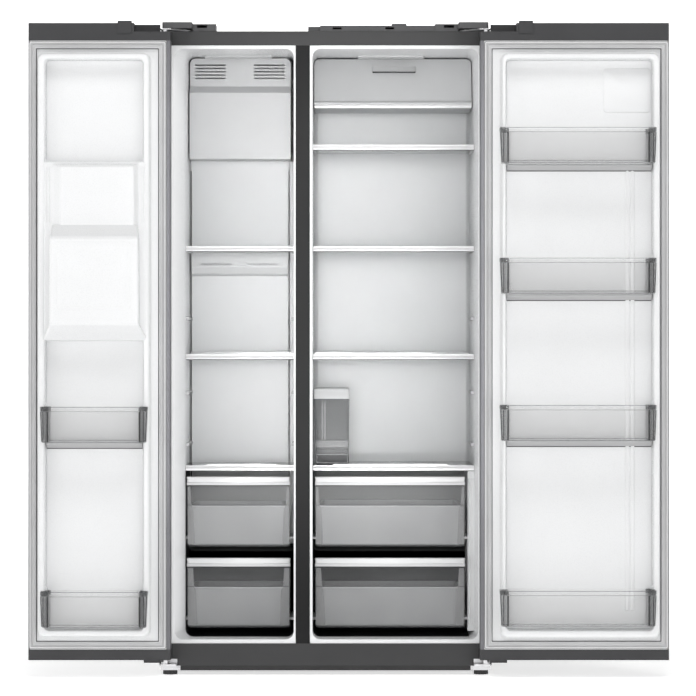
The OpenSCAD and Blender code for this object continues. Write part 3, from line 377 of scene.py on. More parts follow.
def see_through(name, color, face_alpha, edge_alpha, rough=0.12, streak=0.0, grain=300.0,
                cloud_size=14.0, vary=0.06):
    """Clear or smoky moulding: thin when seen square on, denser towards its edges."""
    n = new_nodes(name)
    cloud = n.noise(cloud_size, 2.0, 0.4, (1, 1, 1 - streak))
    n.paint(cloud, (0.25, shade(color, 1 - vary)), (0.75, shade(color, 1 + vary)))
    facing = n.new("ShaderNodeLayerWeight")
    facing.inputs["Blend"].default_value = 0.35
    n.drive("Alpha", facing.outputs["Facing"], face_alpha, edge_alpha)
    fine = n.noise(grain, 2.0)
    n.drive("Roughness", fine, rough * 0.8, rough * 1.25)
    n.bump(fine, 0.02, 0.0003)
    n.set(IOR=1.49)
    return n.material


def two_tone(material, below, z):
    """Makes a material lighter or darker below a height of the frame, in metres."""
    n = Nodes(material)
    base = n.shader.inputs["Base Color"].links[0].from_socket
    parts = n.new("ShaderNodeSeparateXYZ")
    n.link(n.coords.outputs["Object"], parts.inputs["Vector"])
    step = n.new("ShaderNodeMath", operation="LESS_THAN")
    step.inputs[1].default_value = z
    n.link(parts.outputs["Z"], step.inputs[0])
    mix = n.new("ShaderNodeVectorMath", operation="SCALE")
    n.link(base, mix.inputs[0])
    n.link(n.range(step.outputs["Value"], 1.0, below), mix.inputs["Scale"])
    n.link(mix.outputs["Vector"], n.shader.inputs["Base Color"])
    return material


def foam_material(name, color):
    """Rigid foam: small closed cells with a mottled cream colour."""
    n = new_nodes(name)
    cells = n.new("ShaderNodeTexVoronoi")
    cells.inputs["Scale"].default_value = 350.0
    n.link(n.scaled((1, 1, 1)), cells.inputs["Vector"])
    n.paint(cells.outputs["Distance"], (0.0, shade(color, 0.8)), (0.7, shade(color, 1.06)))
    n.bump(cells.outputs["Distance"], 0.35, 0.001)
    n.set(Roughness=0.9)
    return n.material


CABINET_GREY = (0.024, 0.024, 0.025)
LINER_WHITE = (0.84, 0.845, 0.85)
DOOR_WHITE = (0.755, 0.76, 0.765)
PANEL_GREY = (0.74, 0.745, 0.75)
BAY_SHADE_Z = 0.562  # metres; below this the rear panel is painted darker, as the shade of the drawer bay
DUCT_FOOT_Z = 1.571  # metres; below this the fridge's rear panel, above it the air distributor

paint_dark = plastic("dark_cabinet_paint", CABINET_GREY, 0.42, 900.0, 0.08, 0.06)
paint_rail = plastic("grey_frame_paint", (0.015, 0.015, 0.0155), 0.45, 900.0, 0.08, 0.05,
                     Specular_IOR_Level=0.12)
door_steel = brushed("door_steel", (0.16, 0.16, 0.17), 0.36, "z", 0.75)
sheet_metal = brushed("galvanised_sheet", (0.50, 0.51, 0.52), 0.42, "x", 0.8)
zinc = brushed("zinc_steel", (0.62, 0.62, 0.63), 0.28, "x", 0.95)
black = plastic("black_plastic", (0.012, 0.012, 0.013), 0.45, 700.0, 0.10, 0.15)
dark_plastic = plastic("dark_plastic", (0.060, 0.060, 0.062), 0.45, 800.0, 0.10, 0.07)
cap_plastic = plastic("cap_plastic", (0.045, 0.045, 0.047), 0.48, 800.0, 0.10, 0.06,
                      Specular_IOR_Level=0.3)
white = plastic("white_liner", LINER_WHITE, 0.28, 500.0, 0.03, 0.012, Coat_Weight=0.15)
door_white = plastic("white_door_liner", DOOR_WHITE, 0.28, 500.0, 0.03, 0.012, Coat_Weight=0.15)
white_trim = plastic("white_trim", (0.76, 0.76, 0.765), 0.22, 600.0, 0.02, 0.012, Coat_Weight=0.3)
panel_grey = plastic("light_grey_plastic", PANEL_GREY, 0.38, 700.0, 0.05, 0.02)
# painted shade: the rear panel is drawn much darker below the drawer bay's height
back_grey_painted_shade = two_tone(plastic("rear_panel_painted_shade", PANEL_GREY, 0.38, 700.0, 0.05, 0.02), 0.28, BAY_SHADE_Z)
cover_grey = plastic("cover_plastic", (0.62, 0.625, 0.63), 0.38, 700.0, 0.05, 0.02)
duct_grey = two_tone(plastic("duct_grey_plastic", (0.61, 0.615, 0.62), 0.36, 700.0, 0.05, 0.02),
                     1.20, DUCT_FOOT_Z)
# painted shade: near black for the deep drawer bay, where only shade falls
bay_painted_shade = plastic("drawer_bay_painted_shade", (0.010, 0.010, 0.011), 0.6, 600.0, 0.05, 0.10)
gasket_grey = plastic("grey_gasket", (0.46, 0.46, 0.465), 0.55, 500.0, 0.12, 0.05)
# painted shade and painted highlight on the door gaskets
gasket_painted_shade = plastic("gasket_groove_painted_shade", (0.12, 0.12, 0.122), 0.6, 500.0, 0.12, 0.05)
gasket_painted_highlight = plastic("gasket_lip_painted_highlight", (0.78, 0.78, 0.785), 0.5, 500.0, 0.12, 0.03)
fin_metal = brushed("fin_aluminium", (0.72, 0.73, 0.75), 0.35, "z", 0.9)
compressor_black = plastic("compressor_paint", (0.015, 0.015, 0.017), 0.28, 400.0, 0.12, 0.15)
condenser_black = plastic("condenser_paint", (0.02, 0.02, 0.022), 0.5, 500.0, 0.12, 0.12)
fan_grey = plastic("fan_plastic", (0.45, 0.46, 0.47), 0.45, 600.0, 0.06, 0.05)
rubber = plastic("roller_rubber", (0.02, 0.02, 0.021), 0.7, 300.0, 0.2, 0.15)
foam = foam_material("foam", (0.78, 0.70, 0.48))
# painted shade: a grey band on the trims standing in for the shade of a groove
groove_painted_shade = plastic("trim_band_painted_shade", (0.56, 0.56, 0.565), 0.45, 600.0, 0.04, 0.03)
# painted shade: thin dark lines under the ledges and under the trims, where shade falls
shade_line_paint = plastic("painted_shade_line", (0.10, 0.10, 0.102), 0.5, 600.0, 0.04, 0.05)
# painted shade: the ledges under the bins are drawn grey for the shade they lie in
ledge_painted_shade = plastic("ledge_painted_shade_plastic", (0.44, 0.44, 0.445), 0.5, 600.0, 0.04, 0.03)
lens = plastic("lamp_lens", (0.70, 0.705, 0.71), 0.45, 900.0, 0.05, 0.01)
glass = see_through("shelf_glass", (0.16, 0.19, 0.19), 0.10, 0.92, 0.06)
frosted = see_through("frosted_drawer", (0.62, 0.625, 0.63), 0.80, 0.92, 0.42, 0.3, 900.0)
# painted highlight: the front panel's wide, strong cloud of lighter and darker patches stands in for a soft
# reflection
drawer_front_painted_highlight = see_through("drawer_front_painted_highlight", (0.34, 0.345, 0.35), 0.13, 0.75, 0.30, 0.0, 900.0, 4.5, 0.20)
drawer_corner = see_through("drawer_corner", (0.52, 0.52, 0.525), 0.42, 0.70, 0.35, 0.3, 900.0)
clear = see_through("clear_bin", (0.97, 0.975, 0.98), 0.05, 0.17, 0.08)
bin_floor = see_through("bin_floor", (0.72, 0.725, 0.73), 0.46, 0.52, 0.12)
bin_line = see_through("bin_edge_line", (0.24, 0.245, 0.25), 0.42, 0.85, 0.12)
smoky = see_through("smoky_plastic", (0.26, 0.265, 0.27), 0.08, 0.92, 0.14, 0.85)
smoky_band = see_through("smoky_band", (0.085, 0.087, 0.09), 0.36, 0.95, 0.12, 0.9, 300.0, 60.0, 0.35)
smoky_dark = see_through("smoky_edge", (0.010, 0.0105, 0.011), 0.94, 0.97, 0.35, 0.5)
tank_smoke = see_through("smoky_tank", (0.22, 0.225, 0.23), 0.34, 0.85, 0.35, 0.5)
tank_band_and_highlight = see_through("tank_band", (0.60, 0.605, 0.61), 0.30, 0.70, 0.35, 0.5)
tank_foot = see_through("tank_foot", (0.07, 0.072, 0.075), 0.50, 0.92, 0.35, 0.5)
lid_grey = plastic("tank_lid_plastic", (0.47, 0.475, 0.48), 0.40, 700.0, 0.04, 0.02)
support_grey = plastic("support_plastic", (0.52, 0.52, 0.525), 0.45, 700.0, 0.05, 0.03)

DOOR_LINER_LOOK = [door_white, ledge_painted_shade, shade_line_paint]
TRIM_LOOK = [white_trim, groove_painted_shade, shade_line_paint]


# ---------- cabinet liners

LINER_T = 2.5
FLARE_Y = 104.0  # from here back the walls run straight
FLOOR_Z, CEILING_Z = 97.0, 1716.0
STEP_Y, STEP_Z = 352.0, 335.0  # front and top of the step over the machine room
BAY_TOP = 556.0
FREEZER_WALLS = (-388, -87)
FRIDGE_WALLS = (-36, 412)


def liner(name, node, front, inner, pale_from=1000.0):
    """A vacuum formed compartment: lip, flare, straight walls, step over the machine room, back.

    front and inner are the sides at the lip and of the straight walls. Shade is painted into the drawer bay,
    near black, up to pale_from across the cabinet, and the back wall is painted grey as shade."""
    low, high = in_cabinet(node)
    lip_y = low[1] + 2
    back_y = high[1] - LINER_T
    open_bottom, open_top = low[2] + LINER_T, high[2] - LINER_T
    step_r, back_r = 12.0, 14.0
    x0, x1 = inner
    # sides of the flare's mouth: it is wide on the freezer's left, 7 mm where there is room
    a = max(front[0], x0 - 26) if x0 - front[0] > 20 else x0
    b = x1 if front[1] - x1 < 7 else x1 + 7

    def skin(g):
        """The rings of one skin, from the front edge to the back; g is the distance outwards."""
        def ring(y, left, right, bottom, top, r):
            points = round_rect(left - g, right + g, bottom - g, top + g, r + g, 5)
            split = max(BAY_TOP, bottom + r + 1)
            half = len(points) // 2
            points = points[:half] + [(right + g, split)] + points[half:] + [(left - g, split)]
            return upright(points, y)

        def full(y, left, right, r):
            return ring(y, left, right, FLOOR_Z, CEILING_Z, r)

        rings = [ring(low[1], front[0], front[1], open_bottom, open_top, 2),
                 ring(lip_y - 1.2, a - 1.5, b + 1.5, FLOOR_Z - 1.5, CEILING_Z + 1.5, 20),
                 full(lip_y, a, b, 22),
                 full(FLARE_Y - 14, a + (x0 - a) * 0.9, b + (x1 - b) * 0.9, 22),
                 full(FLARE_Y, x0, x1, 21),
                 full(STEP_Y - step_r, x0, x1, 18)]
        for y, z in arc(STEP_Y - step_r, FLOOR_Z + step_r, step_r, 270, 360, 4)[1:]:
            rings.append(ring(y, x0, x1, z, CEILING_Z, 16))
        for y, z in arc(STEP_Y + step_r, STEP_Z - step_r, step_r, 180, 90, 4):
            rings.append(ring(y, x0, x1, z, CEILING_Z, 14))
        for k in range(6):
            t = math.radians(90 * k / 5)
            inset = back_r * (1 - math.cos(t))
            rings.append(ring(back_y - back_r + back_r * math.sin(t) + g, x0 + inset, x1 - inset,
                              STEP_Z + inset, CEILING_Z - inset, back_r))
        return rings

    def material(_, middle):
        x, y, z = middle
        # painted shade: the back wall of the white liner is drawn in the rear panel's grey
        if y > back_y - back_r:
            return 2
        # the deep drawer bay gets painted shade, near black
        return 1 if z < BAY_TOP and y > FLARE_Y and x < pale_from else 0

    shape = Shape(cabinet).loft(list(reversed(skin(0))) + skin(LINER_T), material)
    shape.piece(name, "cabinet", "white_liner", [white, bay_painted_shade, back_grey_painted_shade], angle=40, replaces=[node])


liner("freezer_compartment", "freezer_liner", (-425, -81.7), FREEZER_WALLS)
liner("fridge_compartment", "fridge_liner", (-43, 425), FRIDGE_WALLS, 400.0)


# ---------- door liners

# the raised ring: outer and inner edge, then inner and outer edge on the far side
RING_Z = (112.0, 131.0, 1679.0, 1697.0)
FREEZER_RING = (54.0, 73.0, 339.0, 360.0)
FRIDGE_RING = (56.0, 69.6, 468.0, 487.0)
RING_H = 35.0
RING_TOP = DOOR_T + RING_H
FREEZER_BINS = ("freezer_bin_upper", "freezer_bin_lower")
FRIDGE_BINS = ("fridge_bin_1", "fridge_bin_2", "fridge_bin_3", "fridge_bin_4")


def door_sheet(shape, low, high, ring, foot_slope=0.0, hole=None):
    """The sheet of a door liner with its raised ring, front and back skins in one closed loft.

    low and high are the sheet's corners. foot_slope draws the ring's foot down at the sheet.
    hole is the window (u0, u1, z0, z1) that the dispenser passes through."""
    outer0, inner0, inner1, outer1 = ring
    v, t = DOOR_T, LINER_T

    def at(u0, u1, z0, z1, r, level):
        return upright(round_rect(u0, u1, z0, z1, r, 6), level)

    def outside(d, level):
        slope = foot_slope * (1 - (level - v) / RING_H) if level < v + RING_H - 4 else 0
        return at(outer0 - d, outer1 + d, RING_Z[0] - d - slope, RING_Z[3] + d, 20 + d, level)

    def inside(e, level):
        return at(inner0 - e, inner1 + e, RING_Z[1] - e, RING_Z[2] + e, 12 + e, level)

    def edge(level):
        return at(low[0], high[0], low[2], high[2], 3, level)

    front = [edge(v)]
    front += [outside(d, v + h) for d, h in ((5, 0), (2.2, 0.8), (0.6, 2.8), (0, 6), (-1.5, 27))]
    front += [outside(-1.5 - d, v + h) for d, h in ((0.7, 30.6), (2.6, 33.2), (4.6, 34.6), (6.6, RING_H))]
    front += [inside(e, v + h) for e, h in ((5, RING_H), (3.2, 34.4), (1.6, 32.6), (0.9, 29.5), (0, 6),
                                            (-0.3, -1.2), (-1.5, -1.3), (-2.0, -0.2), (-5, 0.1))]
    back = [edge(v - t), outside(-t, v - t), outside(-t - 1.5, v + 27), outside(-t - 4, RING_TOP - t),
            inside(3, RING_TOP - t), inside(-t + 1, v - t + 0.1)]
    rings = list(reversed(front)) + back
    if hole:
        rings = [at(*hole, 8, v + 0.1)] + rings + [at(*hole, 8, v - t + 0.1)]
    shape.loft(rings, closed=bool(hole))


def ledge(shape, ring, z):
    """The moulded step that a bin stands on, drawn grey as painted shade, with a dark line of painted shade
    under it.
    """
    v = DOOR_T
    left, right = ring[1] + 3, ring[2] - 3
    points = [(v - 1, z - 16), (v + 5, z - 15), (v + 24, z - 4.2), (v + 24, z - 1), (v - 1, z - 1)]
    shape.prism(soften(points, [0, 3, 1.5, 1.2, 0], 5), "x", left, right, 1)
    shape.prism(round_rect(v - 1, v + 1.6, z - 18.2, z - 15.8, 0.6, 2), "x", left, right, 2)


def shoulder(shape, ring, z):
    """Corner wedges above a bin, where the pocket of the liner narrows."""
    v = DOOR_T
    for edge, side in ((ring[1], 1), (ring[2], -1)):
        points = [(edge - side * 2, z + 1), (edge + side * 5, z + 1), (edge - side * 2, z + 20)]
        if side < 0:
            points.reverse()
        shape.prism(points, "y", v - 1, v + RING_H - 8)


def fridge_door_liner():
    low, high = in_fridge_door("fridge_door_liner")
    shape = Shape(fridge_door)
    door_sheet(shape, low, high, FRIDGE_RING, 10.0)
    for node in FRIDGE_BINS[:3]:
        ledge(shape, FRIDGE_RING, in_fridge_door(node)[0][2])
    for node in FRIDGE_BINS:
        shoulder(shape, FRIDGE_RING, in_fridge_door(node)[1][2])
    shape.loft([upright(round_rect(335 + d, 464 - d, 1535 + d, 1657 - d, 9, 4), DOOR_T + h)
                for d, h in ((0, -1), (1.2, 1.4), (4, 2.4))])
    for u in (393, 407):
        shape.loft([upright(round_rect(u + d, u + 14 - d, 180 + d, 1380 - d, 5, 3), DOOR_T + h)
                    for d, h in ((0, -1), (2, 1.6), (5, 2.2))])
    shape.piece("fridge_door_inner", "fridge_door", "white_liner", DOOR_LINER_LOOK, angle=38,
                replaces=["fridge_door_liner"])


PLATE_TOP = 1401.0
PLATE_V = 96.0  # depth of the dispenser plate's face
UPPER_BOX = (83.0, 99.0, 290.0, 323.0)  # left flank's foot and top, right flank's top and foot


def freezer_door_liner():
    low, high = in_freezer_door("freezer_door_liner")
    shape = Shape(freezer_door)
    housing_low, housing_high = in_freezer_door("dispenser_housing")
    door_sheet(shape, low, high, FREEZER_RING, hole=(housing_low[0] + 2, housing_high[0] - 2,
                                                     housing_low[2] + 2, housing_high[2] - 2))
    ledge(shape, FREEZER_RING, in_freezer_door(FREEZER_BINS[0])[0][2])
    for node in FREEZER_BINS:
        shoulder(shape, FREEZER_RING, in_freezer_door(node)[1][2])
    r = 13.0
    for edge, side in ((FREEZER_RING[1], 1), (FREEZER_RING[2], -1)):
        curve = arc(edge + side * r, PLATE_TOP + r, r, 270, 180 if side > 0 else 360, 6)
        fillet = [(edge - side * 2, PLATE_TOP)] + curve + [(edge - side * 2, PLATE_TOP + r)]
        shape.prism(fillet, "y", DOOR_T - 1, DOOR_T + RING_H - 10)
    shape.piece("freezer_door_inner", "freezer_door", "white_liner", DOOR_LINER_LOOK, angle=38,
                replaces=["freezer_door_liner"])


def dispenser_back():
    """Moulded back of the dispenser: a plate, a forward box with sloped ends and an upper box."""
    block = Shape(freezer_door)
    v = DOOR_T - 2

    def level(u0, u1, front, z, r=7.0):
        outline = [(u0, v), (u1, v)] + arc(u1 - r, front - r, r, 0, 90, 4)
        return level_at(outline + arc(u0 + r, front - r, r, 90, 180, 4), z)

    def plate(inset, depth):
        half = inset * 0.5
        return upright(round_rect(60 + inset, 345 - inset, 916 + half, 1402 - half, 8, 6), depth)

    # the plate is a frame: the forward box covers its window, which the dispenser recess fills
    window = round_rect(86, 319, 966, 1188, 8, 6)
    rings = [plate(0, v)] + [plate(9 - a, PLATE_V - 9 + b) for a, b in arc(0, 0, 9, 0, 90, 4)]
    block.loft(rings + [upright(window, PLATE_V), upright(window, v)], closed=True)
    block.loft([level(60, 345, 92, 917, 9), level(62, 343, 97, 921, 9), level(80, 325, 144, 957, 9),
                level(81, 324, 146, 964, 9), level(82, 323, 146, 1190, 9), level(83, 322, 144, 1197, 9),
                level(86, 319, 118, 1227, 9), level(92, 313, 114, 1230, 8), level(99, 306, 98, 1231, 5)])

    def flanked(front, z):
        """The upper box, whose sides run out in soft flanks."""
        foot0, top0, top1, foot1 = UPPER_BOX
        foot_v = PLATE_V - 0.5
        rise = [(t, foot_v + (front - foot_v) * t * t * (3 - 2 * t)) for t in (k / 7 for k in range(8))]
        right = [(foot1 - (foot1 - top1) * t, h) for t, h in rise]
        left = [(foot0 + (top0 - foot0) * t, h) for t, h in reversed(rise)]
        return level_at([(foot0, v), (foot1, v)] + right + left, z)

    block.open_back(v)
    block.loft([flanked(116, 1222), flanked(116, 1386), flanked(112, 1391), flanked(98, 1396)])
    for inset in (0, 10):
        raised = ((0, 145.2), (1.1, 146.8 + inset * 0.06), (2.2, 146.9 + inset * 0.06))
        block.loft([upright(round_rect(104 + inset + d, 303 - inset - d, 1000 + inset * 0.7 + d,
                                       1183 - inset * 0.8 - d, 7 - inset * 0.2, 5), h) for d, h in raised])
    for u in (64.5, 71.5, 326.0, 334.0):
        block.prism(round_rect(u, u + 3.4, 94, 98.4, 1.2, 3), "z", 1236, 1386)
    block.open_back(v)
    block.piece("dispenser_back", "freezer_door", "white_liner", door_white, bevel=2.2, angle=14)


fridge_door_liner()
freezer_door_liner()
dispenser_back()


# ---------- door gaskets

def gasket(name, node, in_door, place, body):
    """Bellows gasket: outer lip, bellow, magnet pocket and inner lip, carried round the door."""
    low, high = in_door(node)
    width = 22.0
    top = high[1] - DOOR_T
    profile = [(0.0, 0.05), (0.2, 1.2), (1.2, 2.0), (2.6, 2.5), (3.8, 3.6), (5.2, 4.2), (6.6, 3.6),
               (7.6, 2.6), (8.6, 2.5), (9.4, 4.0), (10.0, top - 0.9), (10.8, top), (18.0, top),
               (18.9, top - 0.8),
               (19.4, 3.4), (20.2, 2.0), (21.6, 1.5), (width, 0.9), (width, 0.05)]
    rings = [upright(round_rect(low[0] + d, high[0] - d, low[2] + d, high[2] - d, max(0.5, 4 - d * 0.1), 4),
                     DOOR_T + h) for d, h in profile]

    def tone(k, _):
        """Painted shade along both edges and a painted highlight on the lip beside each."""
        return {0: 1, 1: 1, 3: 2, 12: 2, 14: 1, 15: 1, 16: 1}.get(k, 0)

    Shape(place).loft(rings, tone, closed=True).piece(
        name, body, "grey_gasket", [gasket_grey, gasket_painted_shade, gasket_painted_highlight], angle=50, replaces=[node])


gasket("freezer_door_seal", "freezer_door_gasket", in_freezer_door, freezer_door, "freezer_door")
gasket("fridge_door_seal", "fridge_door_gasket", in_fridge_door, fridge_door, "fridge_door")


# ---------- door bins

BIN_T = 2.4
BIN_END = 24.0
BIN_BAND = 12.5


def bin_cup(place, low, high, ring):
    """A whole bin as one cup, open at the top, that reaches back between the ring's sides."""
    u0, v_back, z0 = low
    u1, v_front, z1 = high
    v_mid = RING_TOP + 0.6
    r0, r1 = ring[1] + 6, ring[2] - 6
    corner = 16.0

    def outline(g, z):
        taper = 4.0 * (z1 - z) / (z1 - z0)
        a, b, r = u0 + taper + g, u1 - taper - g, corner - g
        front = v_front - g
        points = [(a, v_mid + g)] + arc(a + r, front - r, r, 180, 90, 6)
        points += arc(b - r, front - r, r, 90, 0, 6) + [(b, v_mid + g), (r1 - g, v_mid + g)]
        points += [(r1 - g, v_back + g), (r0 + g, v_back + g), (r0 + g, v_mid + g)]
        return level_at(points, z)

    t = BIN_T
    rings = [outline(g, z0 + h) for g, h in ((3.4, 0), (1.5, 0.5), (0.9, 2.2))]
    rings += [outline(g, z1 - h) for g, h in ((0.9, 10.5), (0, 9.5), (0, 0.8), (0.7, 0), (t - 0.5, 0),
                                              (t, 0.7), (t + 0.7, 11))]
    rings += [outline(t + g, z0 + t + h) for g, h in ((0.7, 3), (1.7, 0.8), (4.0, 0))]
    return Shape(place).loft(rings, lambda _, middle: 1 if middle[2] < z0 + t + 0.2 else 0)


def door_bin(node, in_door, place, ring):
    """Clear tray with a smoky moulding clipped on each end."""
    low, high = in_door(node)
    body = node + "_body"
    left, right = low[0] + BIN_END, high[0] - BIN_END
    tray = bin_cup(place, low, high, ring)
    tray.cut((left, 0, 0), (-1, 0, 0))
    tray.cut((right, 0, 0), (1, 0, 0))
    front, z0, top = high[1], low[2], high[2]
    # lines along the front: the rim, a bead under it and two near the foot
    for depth, z, tall in ((2.6, top - 1.9, 1.6), (1.2, top - 13.4, 1.1),
                           (3.6, z0 + 0.6, 2.2), (1.4, z0 + 6.4, 1.6)):
        line = round_rect(front - depth - 0.4, front - 0.1, z, z + tall, 0.5, 2)
        tray.prism(line, "x", left + 1, right - 1, 2)
    tray.piece(f"{node}_tray", body, "clear_bin", [clear, bin_floor, bin_line], angle=30, replaces=[node])
    for side, at, name in ((1, left - 0.4, "left"), (-1, right + 0.4, "right")):
        end = bin_cup(place, low, high, ring)
        end.cut((at, 0, 0), (side, 0, 0))
        end.cut((0, 0, top - BIN_BAND), (0, 0, 1))
        # dark edge at the joint and a flute near the outer corner
        for offset, w, proud in ((0, 4.0, 0.5), (13.0, 2.0, 0.3)):
            u = at - side * (offset + w / 2 + 0.1)
            end.prism(round_rect(u - w / 2, u + w / 2, front - 2.0, front + proud - 0.6, 0.5, 2), "z",
                      z0 + 3, top - BIN_BAND - 0.5, 2)
        # dark outline down the outer corner, which leans in towards the foot
        outline = []
        for lean, z in ((3.9, z0 + 3), (0.6, top - BIN_BAND - 0.5)):
            u = (low[0] if side > 0 else high[0]) + side * (lean + 1.5)
            outline.append(level_at(round_rect(u - 1.2, u + 1.2, front - 13.0, front - 10.5, 0.5, 2), z))
        end.loft(outline, 2)
        end.piece(f"{node}_end_{name}", body, "clear_bin", [smoky, smoky, smoky_dark], angle=30)
        band = bin_cup(place, low, high, ring)
        band.cut((at, 0, 0), (side, 0, 0))
        band.cut((0, 0, top - BIN_BAND + 0.4), (0, 0, -1))
        band.piece(f"{node}_band_{name}", body, "clear_bin", [smoky_band, smoky_band], angle=30)


for bin_node in FREEZER_BINS:
    door_bin(bin_node, in_freezer_door, freezer_door, FREEZER_RING)
for bin_node in FRIDGE_BINS:
    door_bin(bin_node, in_fridge_door, fridge_door, FRIDGE_RING)


# ---------- drawers

BAR_H = 24.0
RIM_DROP = 55.0
DRAWER_T = 3.0


def drawer(node):
    """Drawer: frosted tapered box behind a clearer front panel, side rails and a white handle bar."""
    low, high = in_cabinet(node)
    body = node + "_body"
    x0, bar_y, z0 = low
    x1, back_y, top = high
    panel_y = bar_y + 13
    rim = top - BAR_H - RIM_DROP
    t = DRAWER_T

    def outline(g, z):
        flare = 3.0 * (z - z0) / (rim - z0)
        a, b = x0 + 12 - flare + g, x1 - 12 + flare - g
        back = back_y - 8 + 8 * (z - z0) / (rim - z0) - g
        front = panel_y + 3 + g
        p, r = 9.0, 12.0  # taper in plan and rear corner
        points = [(a, front), (b, front), (b - p, back - r)] + arc(b - p - r, back - r, r, 0, 90, 4)[1:]
        return level_at(points + arc(a + p + r, back - r, r, 90, 180, 4), z)

    box = Shape(cabinet)
    rings = [outline(g, z0 + h) for g, h in ((7, 4), (2.6, 5), (0.8, 7), (0, 11))]
    rings += [outline(g, rim - h) for g, h in ((0, 5), (-1.6, 4.2), (-1.6, 0.6), (-1.0, 0), (t - 0.6, 0),
                                               (t, 0.8))]
    box.loft(rings + [outline(t + g, z0 + h) for g, h in ((0, 14), (1.5, 9), (5, 7))])
    box.piece(f"{node}_box", body, "frosted_drawer", frosted, angle=30, replaces=[node])

    # front panel with softened lower corners and a fine step where the box's rim meets it
    def panel(inset, y):
        foot, head = z0 + inset, top - BAR_H + 2
        points = [(x0 + 1 + inset, foot), (x1 - 1 - inset, foot), (x1 - inset, head), (x0 + inset, head)]
        return upright(soften(points, [8, 8, 0, 0], 5), y)

    face = Shape(cabinet)
    face.loft([panel(0, panel_y + 2.9), panel(0, panel_y + 0.8), panel(0.8, panel_y)])
    # dark lines across the panel: one at the box's rim, and one under the handle bar that is painted shade
    for y, z, tall in ((panel_y - 0.5, rim - 0.7, 1.3), (panel_y - 0.8, top - BAR_H - 2.6, 2.3)):
        face.prism(round_rect(y, y + 1.2, z, z + tall, 0.4, 2), "x", x0 + 1.5, x1 - 1.5, 1)
    face.piece(f"{node}_front", body, "frosted_drawer", [drawer_front_painted_highlight, smoky_dark], angle=30)

    corner = Shape(cabinet)
    wide = 13.0 if z0 > 300 else 20.0
    for x, side in ((x0, 1), (x1, -1)):
        outer, under_bar = x + side * 3, top - BAR_H - 4
        points = [(outer, z0 + 5), (x + side * (wide + 9), z0 + 5), (x + side * (wide + 5), rim - 12),
                  (x + side * wide, rim), (x + side * (wide - 3), under_bar), (outer, under_bar)]
        corner.prism(soften(points, [4, 4, 8, 2, 1, 1], 4), "y", panel_y + 1.3, panel_y + 2.4)
    corner.piece(f"{node}_corners", body, "frosted_drawer", drawer_corner, bevel=0.5, angle=40)

    rails = Shape(cabinet)
    for a, b in ((x0 + 2.5, x0 + 17), (x1 - 17, x1 - 2.5)):
        rails.prism(round_rect(a, b, z0 + 26.3, z0 + 31, 1.2, 3), "y", panel_y + 28, back_y - 30)
    rails.piece(f"{node}_rails", body, "frosted_drawer", frosted, angle=30)

    bar = Shape(cabinet)
    b, y = top - BAR_H, bar_y
    front = [(y, top), (y, b + 9), (y + 4.5, b), (y + 22, b)]
    hollow = [(y + 22, b + 3), (y + 6.5, b + 3), (y + 3, b + 10), (y + 3, top - 3.5), (y + 22, top - 3.5)]
    radii = [4.5, 5, 3, 0.8]
    profile = soften(front + hollow + [(y + 22, top)], radii + [0.8, 1.5, 2.5, 1.5, 0.8, 0.8], 5)
    bar.prism(profile, "x", x0, x1)
    for a in (x0, x1 - 2.5):
        bar.prism(soften(front + [(y + 22, top)], radii + [0.8], 5), "x", a, a + 2.5)
    bar.piece(f"{node}_handle", body, "white_liner", white_trim, bevel=0.7, angle=35)


for drawer_node in ("freezer_drawer_upper", "freezer_drawer_lower",
                    "fridge_drawer_upper", "fridge_drawer_lower"):
    drawer(drawer_node)


# ---------- shelves and drawer covers

TRIM_H = 15.5
GLASS_T = 4.0


def glass_plate(name, body, x0, x1, y0, y1, z0, z1, replaces=()):
    plate = Shape(cabinet)
    plate.prism(round_rect(x0, x1, y0, y1, 6, 4), "z", z0, z1)
    plate.piece(name, body, "shelf_glass", glass, bevel=0.7, angle=40, segments=2, replaces=replaces)


def trim_lines(trim, x0, x1, y0, band, line):
    """The grey band painted on a trim's face as the shade of a groove, and the dark line of painted shade
    under it, each from one height to another.
    """
    trim.prism(round_rect(y0 - 0.3, y0 + 1, *band, 0.35, 2), "x", x0, x1, 1)
    trim.prism(round_rect(y0 + 0.3, y0 + 6, *line, 0.5, 2), "x", x0, x1, 2)


def shelf(node):
    """Safety glass with a white trim moulded on its front edge and a lip at the back."""
    low, high = in_cabinet(node)
    body = node + "_body"
    x0, y0, z_low = low
    x1, y1, _ = high
    top = z_low + TRIM_H
    g1 = top - 2.6
    glass_plate(f"{node}_glass", body, x0 + 1, x1 - 1, y0 + 4.1, y1 - 5, g1 - GLASS_T + 0.2, g1, [node])
    trim = Shape(cabinet)
    points = [(y0, top - TRIM_H), (y0 + 14, top - TRIM_H + 3), (y0 + 14, g1 - GLASS_T),
              (y0 + 4, g1 - GLASS_T), (y0 + 4, g1 + 0.1), (y0 + 14, g1 + 0.1), (y0 + 14, top), (y0, top)]
    trim.prism(soften(points, [2.2, 1, 0.3, 0, 0, 0.3, 1.2, 3.2], 5), "x", x0, x1)
    points = [(y1 - 5.9, top - 6.4), (y1, top - 6.4), (y1, top + 6), (y1 - 5.9, top + 6)]
    trim.prism(soften(points, [0.8, 1.5, 2.4, 2.4], 4), "x", x0 + 1, x1 - 1)
    trim_lines(trim, x0 + 0.6, x1 - 0.6, y0, (z_low + 4.0, z_low + 11.2), (z_low - 0.9, z_low + 1.4))
    trim.piece(f"{node}_trim", body, "white_liner", TRIM_LOOK, bevel=0.6, angle=35)


for shelf_node in ("freezer_shelf_upper", "freezer_shelf_lower", "fridge_shelf_top", "fridge_shelf_middle",
                   "fridge_shelf_bottom"):
    shelf(shelf_node)


